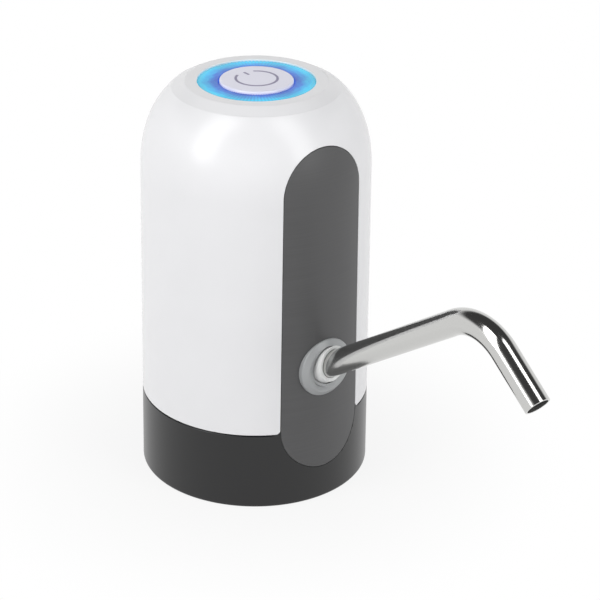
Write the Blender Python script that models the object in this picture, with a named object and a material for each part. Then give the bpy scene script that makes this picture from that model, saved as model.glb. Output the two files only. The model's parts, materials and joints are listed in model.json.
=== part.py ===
# Bottled water pump: a rechargeable pump that stands on the neck of a water bottle.
# Metres, +Z up. The origin is on the body's axis at the level of the foot, and the spout points to -Y.

import math

import bmesh
import bpy
from mathutils import Matrix, Vector

# Driving sizes: the bottle neck's socket, the walls round it, and the body's height
NECK_RADIUS = 0.02825
NECK_WALL = 0.0016
NECK_CHANNEL = 0.0051
BASE_WALL = 0.0023
BODY_TAPER = 0.0008
BODY_HEIGHT = 0.1320
SHOULDER_DROP = 0.0280
RIM_DROP = 0.0020
CAP_BAND = 0.00415
RIM_BEVEL = 0.0039
SEAM_HEIGHT = 0.0263
SHELL_WALL = 0.0025
SHOULDER_POWER = 2.16
SHOULDER_ARC_SHARE = 0.852
FOOT_EDGE = 0.0008

# Clearances
GAP = 0.0003
RUNNING_GAP = 0.00006
OVERRUN = 0.0040

# Base and bottle neck socket
BASE_FLOOR = 0.0020
NECK_DEPTH = 0.0220
GASKET_WIDTH = 0.0070
GASKET_THICKNESS = 0.0020

# Chassis tray
TRAY_THICKNESS = 0.0024
TONGUE_WALL = 0.0014
TONGUE_RISE = 0.0040
BATTERY_CUP_WALL = 0.0010
BATTERY_CUP_HEIGHT = 0.0090
PUMP_POST_RADIUS = 0.0026
BOARD_POST_RADIUS = 0.0016

# Front panel
PANEL_FOOT_HALF_WIDTH = 0.0151
PANEL_TOP_HALF_WIDTH = 0.0145
PANEL_FOOT_CENTRE = 0.0267
PANEL_TOP_CENTRE = 0.1059
PANEL_THICKNESS = 0.0012

# Screws
SCREW_RADIUS = 0.0009
SCREW_HEAD_RADIUS = 0.0017
SCREW_HEAD_HEIGHT = 0.0013
SCREW_BITE = 0.0050
BASE_BOSS_ROOF = 0.0057
BASE_BOSS_WALL = 0.0010
SHELL_BOSS_RISE = 0.0090
BASE_SCREW_COUNT = 3

# Top cap, light ring and button
CAP_THICKNESS = 0.0030
CAP_SPIGOT_WALL = 0.0017
CAP_SPIGOT_DEPTH = 0.0060
CAP_SEAT_WIDTH = 0.00225
CAP_POST_RADIUS = 0.0019
RING_BAND = 0.00625
RING_RECESS = 0.0003
RING_LEDGE = 0.0014
RING_FLANGE = 0.0008
RING_WALL = 0.0014
RING_PLATE = 0.0032
RING_LIP_DROP = 0.0030
BUTTON_RADIUS = 0.01165
BUTTON_PROUD = 0.00055
BUTTON_EDGE = 0.0008
BUTTON_PLATE = 0.0022
BUTTON_SKIRT_WALL = 0.0014
BUTTON_FLANGE = 0.0013
BUTTON_FLANGE_HEIGHT = 0.0011
BUTTON_STEM_RADIUS = 0.0020
BUTTON_TRAVEL = 0.0008

# Control board
BOARD_DROP = 0.0084
BOARD_EDGE = 0.0015
BOARD_THICKNESS = 0.0016
BOARD_SCREW_COUNT = 3
LED_COUNT = 6
LED_LENGTH = 0.0028
LED_SIDE_GAP = 0.00045
LED_HEIGHT = 0.0009
SWITCH_SIDE = 0.0060
SWITCH_HEIGHT = 0.0023
SWITCH_FLOOR = 0.0006
PLUNGER_RADIUS = 0.00175
PLUNGER_RISE = 0.0011
PLUNGER_FLOAT = 0.0002
SPRING_RADIUS = 0.0054
SPRING_WIRE = 0.00025
SPRING_TURNS = 4
SPRING_POINTS = 8
SPRING_FACETS = 5

# Spout, collar and socket
SPOUT_LIFT = 0.0227
SPOUT_TILT = math.radians(33.9)
PIPE_RADIUS = 0.0040
PIPE_WALL = 0.0006
PIPE_CORNER_REACH = 0.10605
PIPE_BEND_RADIUS = 0.0185
PIPE_BEND_ANGLE = math.radians(71.2)
PIPE_LEG = 0.0182
SLEEVE_WALL = 0.0011
SLEEVE_DEPTH = 0.0110
SLEEVE_LIP = 0.0010
SLEEVE_LIP_WIDTH = 0.0008
SLEEVE_PROUD = 0.0026
STUB_WALL = 0.0009
STUB_DEPTH = 0.0120
FLANGE_RADIUS = 0.0097
FLANGE_FACE_RADIUS = 0.0083
FLANGE_HEIGHT = 0.0017
FLANGE_EDGE = 0.0004
FLANGE_DROP = 0.0002
SOCKET_WALL = 0.0013
SOCKET_GRIP = 0.0028
SOCKET_FLOOR = 0.0016
BARB_RADIUS = 0.0026
BARB_BORE = 0.0016
BARB_LENGTH = 0.0058
BARB_STEP = 0.0002
TUBE_WALL = 0.0010
TUBE_RUN = 0.0010

# Suction nipple
NIPPLE_RADIUS = 0.0036
NIPPLE_BORE = 0.0022
NIPPLE_DROP = 0.0140
NIPPLE_BODY_RADIUS = 0.0042
NIPPLE_FLANGE_RADIUS = 0.0060
NIPPLE_FLANGE_HEIGHT = 0.0020
NIPPLE_RISE = 0.0065
NIPPLE_BARB_STEP = 0.0005
NIPPLE_BARB_COUNT = 2

# Pump
PORT_OFFSET = 0.0050
PORT_BORE = 0.0017
PORT_POCKET_HALF_WIDTH = 0.0020
PORT_POCKET_START = 0.0025
PUMP_LIFT = 0.0263
PUMP_RADIUS = 0.0125
PUMP_COVER_THICKNESS = 0.0025
PUMP_ROOF = 0.0022
PUMP_SCREW_CIRCLE = 0.0106
PUMP_SCREW_BITE = 0.0040
EAR_REACH = 0.0165
EAR_RADIUS = 0.0036
EAR_BEARING = math.radians(35)
GEAR_TEETH = 10
GEAR_MODULE = 0.0008
GEAR_TIP_SHARE = 0.75
GEAR_ROOT_SHARE = 1.30
GEAR_PRESSURE_ANGLE = math.radians(20)
GEAR_BACKLASH = 0.00015
GEAR_THICKNESS = 0.0050
GEAR_SIDE_GAP = 0.0002
GEAR_TIP_GAP = 0.00015
AXLE_RADIUS = 0.0010
AXLE_BITE = 0.0010
SEAL_RADIUS = 0.0030
SEAL_HEIGHT = 0.0011

# Motor
MOTOR_RADIUS = 0.0122
MOTOR_LENGTH = 0.0308
MOTOR_WALL = 0.0009
MOTOR_CAP_THICKNESS = 0.0024
SHAFT_RADIUS = 0.0010
BEARING_RADIUS = 0.0029
BEARING_HEIGHT = 0.0024
BEARING_SEAT_WALL = 0.0011
MAGNET_WALL = 0.0018
MAGNET_HEIGHT = 0.0190
MAGNET_HALF_ANGLE = math.radians(58)
ARMATURE_GAP = 0.0007
ARMATURE_HEIGHT = 0.0170
ARMATURE_CORE_RADIUS = 0.0040
ARMATURE_NECK_HALF_WIDTH = 0.0015
ARMATURE_SHOE = 0.0016
ARMATURE_POLES = 3
ARMATURE_POLE_HALF_ANGLE = math.radians(50)

# Battery and charging inlet
BATTERY_RADIUS = 0.0092
BATTERY_LENGTH = 0.0650
BATTERY_NUB_RADIUS = 0.0030
BATTERY_NUB_HEIGHT = 0.0010
BATTERY_EDGE = 0.0008
BATTERY_BEARING = math.radians(156)
BATTERY_SPACING = 0.0015
TIE_WALL = 0.0010
TIE_WIDTH = 0.0040
TIE_DROP = 0.0160
CHARGE_BOARD_HALF_WIDTH = 0.0080
CHARGE_BOARD_LENGTH = 0.0140
CHARGE_BOARD_THICKNESS = 0.0012
CHARGE_BOARD_LIFT = 0.0092
CHARGE_BOARD_INSET = 0.0012
USB_HALF_WIDTH = 0.0038
USB_HEIGHT = 0.0028
USB_DEPTH = 0.0062
USB_WALL = 0.0004
USB_RECESS = 0.0008
USB_MOUTH_DEPTH = 0.0046

# Leads
LEAD_RADIUS = 0.0006
CABLE_RADIUS = 0.0010
LEAD_SPACING = 0.0030
LEAD_SLACK = 0.0090
MOTOR_PAD_REACH = 0.0185
BATTERY_PAD_REACH = 0.0035
CABLE_PAD_REACH = 0.0115
LEAD_STEPS = 3
LEAD_FACETS = 6

# Facets round a turned piece, by its size
BODY_STEPS = 36
RING_STEPS = 28
MID_STEPS = 20
SMALL_STEPS = 14
FINE_STEPS = 8
SHARP_ANGLE = math.radians(26)
FINE_SHARP_ANGLE = math.radians(50)
OFF_AXIS_TURN = math.radians(4)
PIPE_BEND_STEPS = 7
HOSE_BEND_STEPS = 5
MERGE_DISTANCE = 2e-6

# Finishes: colour, roughness, metallic
WHITE_ABS = ((0.86, 0.86, 0.86, 1), 0.30, 0.0)
BLACK_ABS = ((0.012, 0.012, 0.013, 1), 0.28, 0.0)
GREY_STRIP = ((0.085, 0.085, 0.086, 1), 0.45, 0.0)
GREY_ABS = ((0.42, 0.42, 0.43, 1), 0.40, 0.0)
BLUE_LENS = ((0.02, 0.45, 0.95, 1), 0.10, 0.0)
PEARL_ABS = ((0.66, 0.68, 0.84, 1), 0.30, 0.0)
PALE_SILICONE = ((0.75, 0.75, 0.74, 1), 0.45, 0.0)
STEEL = ((0.62, 0.62, 0.63, 1), 0.12, 1.0)
ZINC = ((0.55, 0.56, 0.58, 1), 0.35, 1.0)
BLACK_RUBBER = ((0.015, 0.015, 0.015, 1), 0.70, 0.0)
GREEN_BOARD = ((0.02, 0.16, 0.06, 1), 0.45, 0.0)
BLACK_PLASTIC = ((0.02, 0.02, 0.022, 1), 0.50, 0.0)
ACETAL = ((0.70, 0.69, 0.64, 1), 0.45, 0.0)
FERRITE = ((0.04, 0.04, 0.042, 1), 0.65, 0.0)
COPPER = ((0.70, 0.30, 0.14, 1), 0.35, 1.0)
BRONZE = ((0.50, 0.33, 0.15, 1), 0.40, 1.0)
BLUE_SLEEVE = ((0.02, 0.10, 0.40, 1), 0.35, 0.0)
LAMP_WHITE = ((0.90, 0.90, 0.80, 1), 0.40, 0.0)
RED_PVC = ((0.55, 0.02, 0.02, 1), 0.45, 0.0)


# Heights and places worked out from the sizes above
FOOT_RADIUS = NECK_RADIUS + NECK_WALL + NECK_CHANNEL + BASE_WALL
SHOULDER_RADIUS = FOOT_RADIUS - BODY_TAPER
SHOULDER_HEIGHT = BODY_HEIGHT - SHOULDER_DROP
RING_RADIUS = BUTTON_RADIUS + GAP + RING_BAND
TOP_FLAT_RADIUS = RING_RADIUS + CAP_BAND
RIM_RADIUS = TOP_FLAT_RADIUS + RIM_BEVEL
RIM_HEIGHT = BODY_HEIGHT - RIM_DROP
TRAY_FLOOR = NECK_DEPTH + GAP
TRAY_TOP = TRAY_FLOOR + TRAY_THICKNESS
SPOUT_HEIGHT = TRAY_TOP + SPOUT_LIFT
BOARD_TOP = BODY_HEIGHT - BOARD_DROP
BOARD_FLOOR = BOARD_TOP - BOARD_THICKNESS
FLAT_STACK = BOARD_TOP + GAP
BOARD_SCREW_CIRCLE = RING_RADIUS + RING_FLANGE + GAP * 2 + CAP_POST_RADIUS
BOARD_RADIUS = BOARD_SCREW_CIRCLE + BOARD_EDGE
LAMP_CHANNEL_INSIDE = BUTTON_RADIUS + BUTTON_FLANGE + GAP + RING_WALL
LAMP_CHANNEL_OUTSIDE = RING_RADIUS + RING_FLANGE - RING_WALL


def shoulder_curve(start, end, steps):
    """Points (radius, height) of a rounded shoulder from the straight side up to the rim."""
    share = SHOULDER_ARC_SHARE
    drop = 1 - (1 - share ** SHOULDER_POWER) ** (1 / SHOULDER_POWER)
    reach = (start[0] - end[0]) / drop
    points = []
    for step in range(1, steps + 1):
        turn = share * step / steps
        inward = 1 - (1 - turn ** SHOULDER_POWER) ** (1 / SHOULDER_POWER)
        rise = (end[1] - start[1]) * step / steps
        points.append((start[0] - reach * inward, start[1] + rise))
    return points


SHOULDER_STEPS = 7
INNER_SHOULDER_STEPS = 4
SHOULDER_POINTS = shoulder_curve(
    (SHOULDER_RADIUS, SHOULDER_HEIGHT), (RIM_RADIUS, RIM_HEIGHT), SHOULDER_STEPS)
BODY_LINE = [(FOOT_RADIUS, 0.0), (SHOULDER_RADIUS, SHOULDER_HEIGHT)] + SHOULDER_POINTS


def body_radius(height):
    """Outer radius of the body at a height, on the facets that every skin shares."""
    for low, high in zip(BODY_LINE, BODY_LINE[1:]):
        if height <= high[1]:
            share = (height - low[1]) / (high[1] - low[1])
            return low[0] + (high[0] - low[0]) * share
    return BODY_LINE[-1][0]


def skin_line(inset, low, high):
    """Points (radius, height) on the body's outline, moved inward by inset."""
    heights = [low] + [point[1] for point in BODY_LINE if low < point[1] < high] + [high]
    return [(body_radius(height) - inset, height) for height in heights]


BASE_INNER_RADIUS = body_radius(TRAY_TOP) - BASE_WALL
TRAY_RADIUS = BASE_INNER_RADIUS - GAP
SCREW_CIRCLE = (NECK_RADIUS + NECK_WALL + BASE_INNER_RADIUS) / 2
BOSS_TOP = NECK_DEPTH - GAP
BASE_WELL_DEPTH = BOSS_TOP - BASE_BOSS_ROOF
SCREW_HOLE = SCREW_RADIUS + GAP
HEAD_HOLE = SCREW_HEAD_RADIUS + GAP
TUBE_BORE = BARB_RADIUS + BARB_STEP + GAP
TUBE_RADIUS = TUBE_BORE + TUBE_WALL

# Spout frame: its Z runs out of the body along the pipe's straight run
SPOUT_ROOT = Vector((0, -body_radius(SPOUT_HEIGHT), SPOUT_HEIGHT))
SPOUT_OUT = Vector((0, -math.cos(SPOUT_TILT), math.sin(SPOUT_TILT)))
SPOUT_FRAME = Matrix.Translation(SPOUT_ROOT) @ Matrix.Rotation(math.pi / 2 - SPOUT_TILT, 4, "X")
FRONT_FRAME = Matrix.Translation(SPOUT_ROOT) @ Matrix.Rotation(math.pi / 2, 4, "X")
SLEEVE_BORE = PIPE_RADIUS + RUNNING_GAP
SLEEVE_RADIUS = SLEEVE_BORE + SLEEVE_WALL
STUB_BORE = SLEEVE_RADIUS + GAP
STUB_RADIUS = STUB_BORE + STUB_WALL
SOCKET_BORE = STUB_RADIUS + GAP
SOCKET_RADIUS = SOCKET_BORE + SOCKET_WALL
SOCKET_SEAT = STUB_DEPTH + GAP
SOCKET_BACK = SOCKET_SEAT + SOCKET_FLOOR
SOCKET_TAIL = SOCKET_BACK + BARB_LENGTH

# Pump and motor: the inlet port stands on the body's axis
PUMP_FLOOR = TRAY_TOP + PUMP_LIFT
PUMP_PARTING = PUMP_FLOOR + PUMP_COVER_THICKNESS + GAP
CHAMBER_DEPTH = GEAR_THICKNESS + GEAR_SIDE_GAP * 2 - GAP
CHAMBER_TOP = PUMP_PARTING + CHAMBER_DEPTH
PUMP_TOP = CHAMBER_TOP + PUMP_ROOF
PITCH_RADIUS = GEAR_TEETH * GEAR_MODULE / 2
GEAR_FLOOR = PUMP_PARTING - GAP + GEAR_SIDE_GAP
PUMP_CENTRE = Vector((0, -PORT_OFFSET, 0))
DRIVE_CENTRE = PUMP_CENTRE + Vector((PITCH_RADIUS, 0, 0))
IDLER_CENTRE = PUMP_CENTRE - Vector((PITCH_RADIUS, 0, 0))
MOTOR_FLOOR = PUMP_TOP + GAP
MOTOR_TOP = MOTOR_FLOOR + MOTOR_LENGTH
MOTOR_CAP_FLOOR = MOTOR_TOP - MOTOR_CAP_THICKNESS
EAR_OUT = Vector((math.cos(EAR_BEARING), math.sin(EAR_BEARING), 0)) * EAR_REACH
BATTERY_OUT = Vector((math.cos(BATTERY_BEARING), math.sin(BATTERY_BEARING), 0))
BATTERY_FLOOR = TRAY_TOP + GAP
BATTERY_TOP = BATTERY_FLOOR + BATTERY_LENGTH
TIE_REACH = body_radius(BATTERY_TOP) - SHELL_WALL - BATTERY_SPACING
BATTERY_CENTRE = BATTERY_OUT * (TIE_REACH - TIE_WALL - GAP - BATTERY_RADIUS)

# Charging inlet at the back
CHARGE_FLOOR = TRAY_TOP + CHARGE_BOARD_LIFT
CHARGE_TOP = CHARGE_FLOOR + CHARGE_BOARD_THICKNESS
SHELL_BACK = body_radius(CHARGE_TOP)
CHARGE_REACH = math.sqrt((SHELL_BACK - SHELL_WALL) ** 2 - CHARGE_BOARD_HALF_WIDTH ** 2)
CHARGE_BACK = CHARGE_REACH - CHARGE_BOARD_INSET
CHARGE_FRONT = CHARGE_BACK - CHARGE_BOARD_LENGTH
USB_FLOOR = CHARGE_TOP + GAP
USB_BACK = SHELL_BACK - USB_RECESS


def clear_scene():
    """Start from an empty scene."""
    for old in list(bpy.data.objects):
        bpy.data.objects.remove(old, do_unlink=True)


def new_material(name, finish):
    """A Principled material with one colour, roughness and metallic value."""
    colour, roughness, metallic = finish
    material = bpy.data.materials.new(name)
    material.use_nodes = True
    shader = material.node_tree.nodes["Principled BSDF"]
    shader.inputs["Base Color"].default_value = colour
    shader.inputs["Roughness"].default_value = roughness
    shader.inputs["Metallic"].default_value = metallic
    return material


def link_mesh(name, bm, place):
    """Close a bmesh into a named object that stands in the scene at a place."""
    bmesh.ops.recalc_face_normals(bm, faces=bm.faces)
    mesh = bpy.data.meshes.new(name)
    bm.to_mesh(mesh)
    bm.free()
    piece = bpy.data.objects.new(name, mesh)
    bpy.context.scene.collection.objects.link(piece)
    piece.matrix_world = place
    return piece


def new_piece(name, bm, finish, place=Matrix(), sharp_angle=SHARP_ANGLE):
    """A sub-part: a named object with its own material."""
    piece = link_mesh(name, bm, place)
    piece.data.shade_smooth()
    piece.data.set_sharp_from_angle(angle=sharp_angle)
    piece.data.materials.append(new_material(name, finish))
    return piece


def new_guide(name, bm, place=Matrix()):
    """A shape that cuts or adds to a sub-part and isn't one itself."""
    guide = link_mesh("guide_" + name, bm, place)
    guide.hide_render = True
    guide.display_type = "WIRE"
    return guide


def combine(piece, guide, operation):
    """Cut, add or keep a guide's shape with a live Boolean."""
    change = piece.modifiers.new(guide.name, "BOOLEAN")
    change.solver = "EXACT"
    change.operation = operation
    change.object = guide
    # Close the hairline cracks that a cut can leave
    weld = piece.modifiers.new("weld_" + guide.name, "WELD")
    weld.merge_threshold = MERGE_DISTANCE


def cut(piece, guide):
    combine(piece, guide, "DIFFERENCE")


def add(piece, guide):
    combine(piece, guide, "UNION")


def at(place):
    """A placing matrix that only moves."""
    return Matrix.Translation(place)


def turned(profile, steps):
    """Spin a closed outline of (radius, height) points about Z."""
    bm = bmesh.new()
    corners = [bm.verts.new((radius, 0, height)) for radius, height in profile]
    edges = []
    for first, second in zip(corners, corners[1:] + corners[:1]):
        if max(first.co.x, second.co.x) > MERGE_DISTANCE:
            edges.append(bm.edges.new((first, second)))
    bmesh.ops.spin(bm, geom=corners + edges, cent=Vector(), axis=Vector((0, 0, 1)),
                   angle=2 * math.pi, steps=steps, use_merge=True)
    bmesh.ops.remove_doubles(bm, verts=bm.verts, dist=MERGE_DISTANCE)
    return bm


def turned_off_axis(profile, steps):
    """Spin an outline a little off the X axis, so that its corners miss the edges it cuts."""
    bm = turned(profile, steps)
    bmesh.ops.rotate(bm, verts=bm.verts, cent=Vector(), matrix=Matrix.Rotation(OFF_AXIS_TURN, 3, "Z"))
    return bm


def rod(radius, low, high, steps=SMALL_STEPS):
    """A solid round bar along Z."""
    return turned_off_axis([(0, low), (radius, low), (radius, high), (0, high)], steps)


def ring(bore, radius, low, high, steps=SMALL_STEPS):
    """A plain ring or short tube along Z."""
    return turned([(bore, low), (radius, low), (radius, high), (bore, high)], steps)


def extruded(outline, low, high):
    """Raise a flat outline of (x, y) points along Z."""
    bm = bmesh.new()
    face = bm.faces.new([bm.verts.new((x, y, low)) for x, y in outline])
    raised = bmesh.ops.extrude_face_region(bm, geom=[face])["geom"]
    corners = [item for item in raised if isinstance(item, bmesh.types.BMVert)]
    bmesh.ops.translate(bm, verts=corners, vec=Vector((0, 0, high - low)))
    return bm


def block(low, high):
    """A box between two corners."""
    return extruded([(low[0], low[1]), (high[0], low[1]), (high[0], high[1]), (low[0], high[1])],
                    low[2], high[2])


def arc(centre, radius, start, end, steps):
    """Points on an arc, with the angles in degrees."""
    points = []
    for step in range(steps + 1):
        turn = math.radians(start + (end - start) * step / steps)
        points.append((centre[0] + radius * math.cos(turn), centre[1] + radius * math.sin(turn)))
    return points


def wrapped(circles, steps):
    """Outline of a band pulled tight round circles (x, y, radius)."""
    points = sorted(point for x, y, radius in circles for point in arc((x, y), radius, 0, 360, steps)[:-1])
    chains = []
    for run in (points, points[::-1]):
        chain = []
        for point in run:
            while len(chain) > 1 and (
                    (chain[-1][0] - chain[-2][0]) * (point[1] - chain[-2][1])
                    <= (chain[-1][1] - chain[-2][1]) * (point[0] - chain[-2][0])):
                chain.pop()
            chain.append(point)
        chains += chain[:-1]
    return chains


def around(count, radius, first=0.0):
    """Places on a circle about the body's axis."""
    turns = [first + 2 * math.pi * index / count for index in range(count)]
    return [Vector((radius * math.cos(turn), radius * math.sin(turn), 0)) for turn in turns]


def towards_x(centre):
    """The side direction for a run that never points along X."""
    return Vector((1, 0, 0))


def swept(stations, radius, bore, steps, side_of=towards_x):
    """Skin circles along stations (centre, direction): a tube, or a solid rod if the bore is 0."""
    bm = bmesh.new()
    rings = []
    walls = [(radius, stations)]
    if bore:
        walls.append((bore, stations[::-1]))
    for wall_radius, run in walls:
        for centre, direction in run:
            side = side_of(centre)
            side = (side - direction * side.dot(direction)).normalized()
            frame = Matrix((side, direction.cross(side), direction)).transposed().to_4x4()
            made = bmesh.ops.create_circle(bm, cap_ends=False, radius=wall_radius, segments=steps,
                                           matrix=at(centre) @ frame)
            rings.append(made["verts"])
    if bore:
        rings.append(rings[0])
    else:
        bm.faces.new(rings[0])
        bm.faces.new(rings[-1])
    for first, second in zip(rings, rings[1:]):
        for index in range(steps):
            after = (index + 1) % steps
            bm.faces.new((first[index], first[after], second[after], second[index]))
    return bm


def stations_on(points):
    """Stations (centre, direction) on a line of points."""
    stations = []
    for index, point in enumerate(points):
        before = point - points[index - 1] if index else Vector()
        after = points[index + 1] - point if index + 1 < len(points) else Vector()
        stations.append((point, (before.normalized() + after.normalized()).normalized()))
    return stations


def make_screw(name, tip, finish, bite, downward=False):
    """A pan head screw whose shank ends at its tip, driven up, or down if downward is set."""
    head = -bite
    profile = [(0, 0), (SCREW_RADIUS, 0), (SCREW_RADIUS, head), (SCREW_HEAD_RADIUS, head),
               (SCREW_HEAD_RADIUS, head - SCREW_HEAD_HEIGHT), (0, head - SCREW_HEAD_HEIGHT)]
    place = at(tip)
    if downward:
        place = place @ Matrix.Rotation(math.pi, 4, "X")
    return new_piece(name, turned(profile, FINE_STEPS), finish, place, FINE_SHARP_ANGLE)


def panel_prism(name, outset):
    """A guide block with the front strip's outline, run back to front through the front wall."""
    foot = PANEL_FOOT_HALF_WIDTH + outset
    top = PANEL_TOP_HALF_WIDTH + outset
    outline = (arc((0, PANEL_TOP_CENTRE), top, 0, 180, SMALL_STEPS)
               + arc((0, PANEL_FOOT_CENTRE), foot, 180, 360, SMALL_STEPS))
    bm = extruded(outline, SHOULDER_RADIUS / 2, FOOT_RADIUS + OVERRUN)
    return new_guide(name, bm, Matrix.Rotation(math.pi / 2, 4, "X"))


def panel_layer(inset, outset):
    """A thin turned skin of the body where the front strip lies."""
    low = PANEL_FOOT_CENTRE - PANEL_FOOT_HALF_WIDTH - OVERRUN
    high = PANEL_TOP_CENTRE + PANEL_TOP_HALF_WIDTH + OVERRUN
    inner = skin_line(inset, low, high)
    outer = skin_line(-outset, low, high)
    return turned(outer + inner[::-1], BODY_STEPS)


def panel_pocket(name):
    """A guide that recesses a wall for the front strip, with its seam gap."""
    pocket = new_guide(name, panel_layer(PANEL_THICKNESS + GAP, OVERRUN))
    combine(pocket, panel_prism(name + "_prism", GAP), "INTERSECT")
    return pocket


def spout_hole(name, radius):
    """A guide along the spout's axis that opens the front wall."""
    return new_guide(name, rod(radius, -SOCKET_SEAT, OVERRUN * 2, MID_STEPS), SPOUT_FRAME)


def screw_places():
    """Places of the screws that hold the base, the tray and the shell together."""
    return around(BASE_SCREW_COUNT, SCREW_CIRCLE, math.pi / BODY_STEPS)


def make_base():
    """Black foot: outer wall, flat bottom ring, and the bottle neck socket standing inside."""
    low = FOOT_EDGE
    high = SEAM_HEIGHT - GAP
    wall = skin_line(0, low, high)
    edge = arc((body_radius(low) - FOOT_EDGE, low), FOOT_EDGE, -90, 0, 3)[:-1]
    neck_outside = NECK_RADIUS + NECK_WALL
    profile = ([(NECK_RADIUS, 0)] + edge + wall
               + [(BASE_INNER_RADIUS, high), (BASE_INNER_RADIUS, BASE_FLOOR),
                  (neck_outside, BASE_FLOOR), (neck_outside, NECK_DEPTH), (NECK_RADIUS, NECK_DEPTH)])
    base = new_piece("base", turned(profile, BODY_STEPS), BLACK_ABS)
    for index, place in enumerate(screw_places(), 1):
        boss = rod(HEAD_HOLE + BASE_BOSS_WALL, BASE_FLOOR / 2, BOSS_TOP)
        add(base, new_guide(f"base_boss_{index}", boss, at(place)))
        well = turned_off_axis([(0, -OVERRUN), (HEAD_HOLE, -OVERRUN), (HEAD_HOLE, BASE_WELL_DEPTH),
                                (SCREW_HOLE, BASE_WELL_DEPTH), (SCREW_HOLE, NECK_DEPTH + OVERRUN),
                                (0, NECK_DEPTH + OVERRUN)], SMALL_STEPS)
        cut(base, new_guide(f"base_well_{index}", well, at(place)))
    cut(base, panel_pocket("base_pocket"))
    return base


def make_neck_gasket():
    """Rubber ring at the top of the neck socket, where the bottle's lip seats."""
    radius = NECK_RADIUS - GAP
    bm = ring(radius - GASKET_WIDTH, radius, NECK_DEPTH - GASKET_THICKNESS, NECK_DEPTH, BODY_STEPS)
    return new_piece("neck_gasket", bm, BLACK_RUBBER)


def make_outer_shell():
    """White housing: straight sides, rounded shoulder, open at the top for the cap."""
    seat = RIM_HEIGHT - GAP
    outer = skin_line(0, SEAM_HEIGHT, seat)
    opening = RIM_RADIUS - CAP_SEAT_WIDTH + GAP
    inner_shoulder = shoulder_curve(
        (SHOULDER_RADIUS - SHELL_WALL, SHOULDER_HEIGHT), (opening, RIM_HEIGHT - SHELL_WALL),
        INNER_SHOULDER_STEPS)
    tongue_outside = TRAY_RADIUS
    tongue_inside = tongue_outside - TONGUE_WALL
    tongue_floor = TRAY_TOP + GAP
    tongue_top = SEAM_HEIGHT + TONGUE_RISE
    inside_top = tongue_top + TONGUE_WALL
    profile = (outer + [(opening, seat)] + inner_shoulder[::-1]
               + [(SHOULDER_RADIUS - SHELL_WALL, SHOULDER_HEIGHT),
                  (body_radius(inside_top) - SHELL_WALL, inside_top), (tongue_inside, tongue_top),
                  (tongue_inside, tongue_floor), (tongue_outside, tongue_floor),
                  (tongue_outside, SEAM_HEIGHT)])
    shell = new_piece("outer_shell", turned(profile, BODY_STEPS), WHITE_ABS)
    boss_radius = tongue_outside - SCREW_CIRCLE - GAP
    for index, place in enumerate(screw_places(), 1):
        boss = rod(boss_radius, tongue_floor + GAP, tongue_floor + SHELL_BOSS_RISE)
        add(shell, new_guide(f"shell_boss_{index}", boss, at(place)))
        pilot = rod(SCREW_HOLE, tongue_floor - OVERRUN, tongue_floor + SCREW_BITE + GAP, FINE_STEPS)
        cut(shell, new_guide(f"shell_pilot_{index}", pilot, at(place)))
    cut(shell, panel_pocket("shell_pocket"))
    cut(shell, spout_hole("shell_spout_hole", STUB_RADIUS + GAP))
    slot_low = (-USB_HALF_WIDTH - GAP, SHELL_BACK - SHELL_WALL - OVERRUN, USB_FLOOR - GAP)
    slot_high = (USB_HALF_WIDTH + GAP, SHELL_BACK + OVERRUN, USB_FLOOR + USB_HEIGHT + GAP)
    cut(shell, new_guide("usb_slot", block(slot_low, slot_high)))
    return shell


def make_front_panel():
    """Dark strip, curved like the body, flush in the pockets of the shell and the base."""
    panel = new_piece("front_panel", panel_layer(PANEL_THICKNESS, 0), GREY_STRIP)
    combine(panel, panel_prism("panel_outline", 0), "INTERSECT")
    cut(panel, spout_hole("panel_spout_hole", STUB_RADIUS + GAP))
    return panel


def make_chassis_tray():
    """Inner floor with the battery cup and the posts that carry the pump and the charge board."""
    tray = new_piece("chassis_tray", ring(NIPPLE_BODY_RADIUS + GAP, TRAY_RADIUS, TRAY_FLOOR, TRAY_TOP,
                                          BODY_STEPS), ACETAL)
    cup_bore = BATTERY_RADIUS + GAP
    root = TRAY_TOP - TRAY_THICKNESS / 2
    cup = ring(cup_bore, cup_bore + BATTERY_CUP_WALL, root, TRAY_TOP + BATTERY_CUP_HEIGHT, MID_STEPS)
    add(tray, new_guide("battery_cup", cup, at(BATTERY_CENTRE)))
    for index, place in enumerate(ear_places(), 1):
        post = rod(PUMP_POST_RADIUS, root, PUMP_FLOOR - GAP)
        add(tray, new_guide(f"pump_post_{index}", post, at(place)))
        pilot = rod(SCREW_HOLE, PUMP_FLOOR - PUMP_SCREW_BITE - GAP, PUMP_FLOOR + OVERRUN, FINE_STEPS)
        cut(tray, new_guide(f"pump_post_pilot_{index}", pilot, at(place)))
    for side in (-1, 1):
        place = Vector((side * (CHARGE_BOARD_HALF_WIDTH - BOARD_POST_RADIUS), CHARGE_FRONT + BOARD_POST_RADIUS, 0))
        post = rod(BOARD_POST_RADIUS, root, CHARGE_FLOOR - GAP, FINE_STEPS)
        add(tray, new_guide(f"board_post_{side}", post, at(place)))
    for index, place in enumerate(screw_places(), 1):
        hole = rod(SCREW_HOLE, TRAY_FLOOR - OVERRUN, TRAY_TOP + OVERRUN / 2, FINE_STEPS)
        cut(tray, new_guide(f"tray_hole_{index}", hole, at(place)))
    return tray


def make_base_screws():
    """Screws from below, deep in the base's wells, up into the shell's bosses."""
    tip = TRAY_TOP + GAP + SCREW_BITE
    for index, place in enumerate(screw_places(), 1):
        bite = tip - (BASE_WELL_DEPTH - GAP)
        make_screw(f"base_screw_{index}", place + Vector((0, 0, tip)), ZINC, bite)


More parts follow.
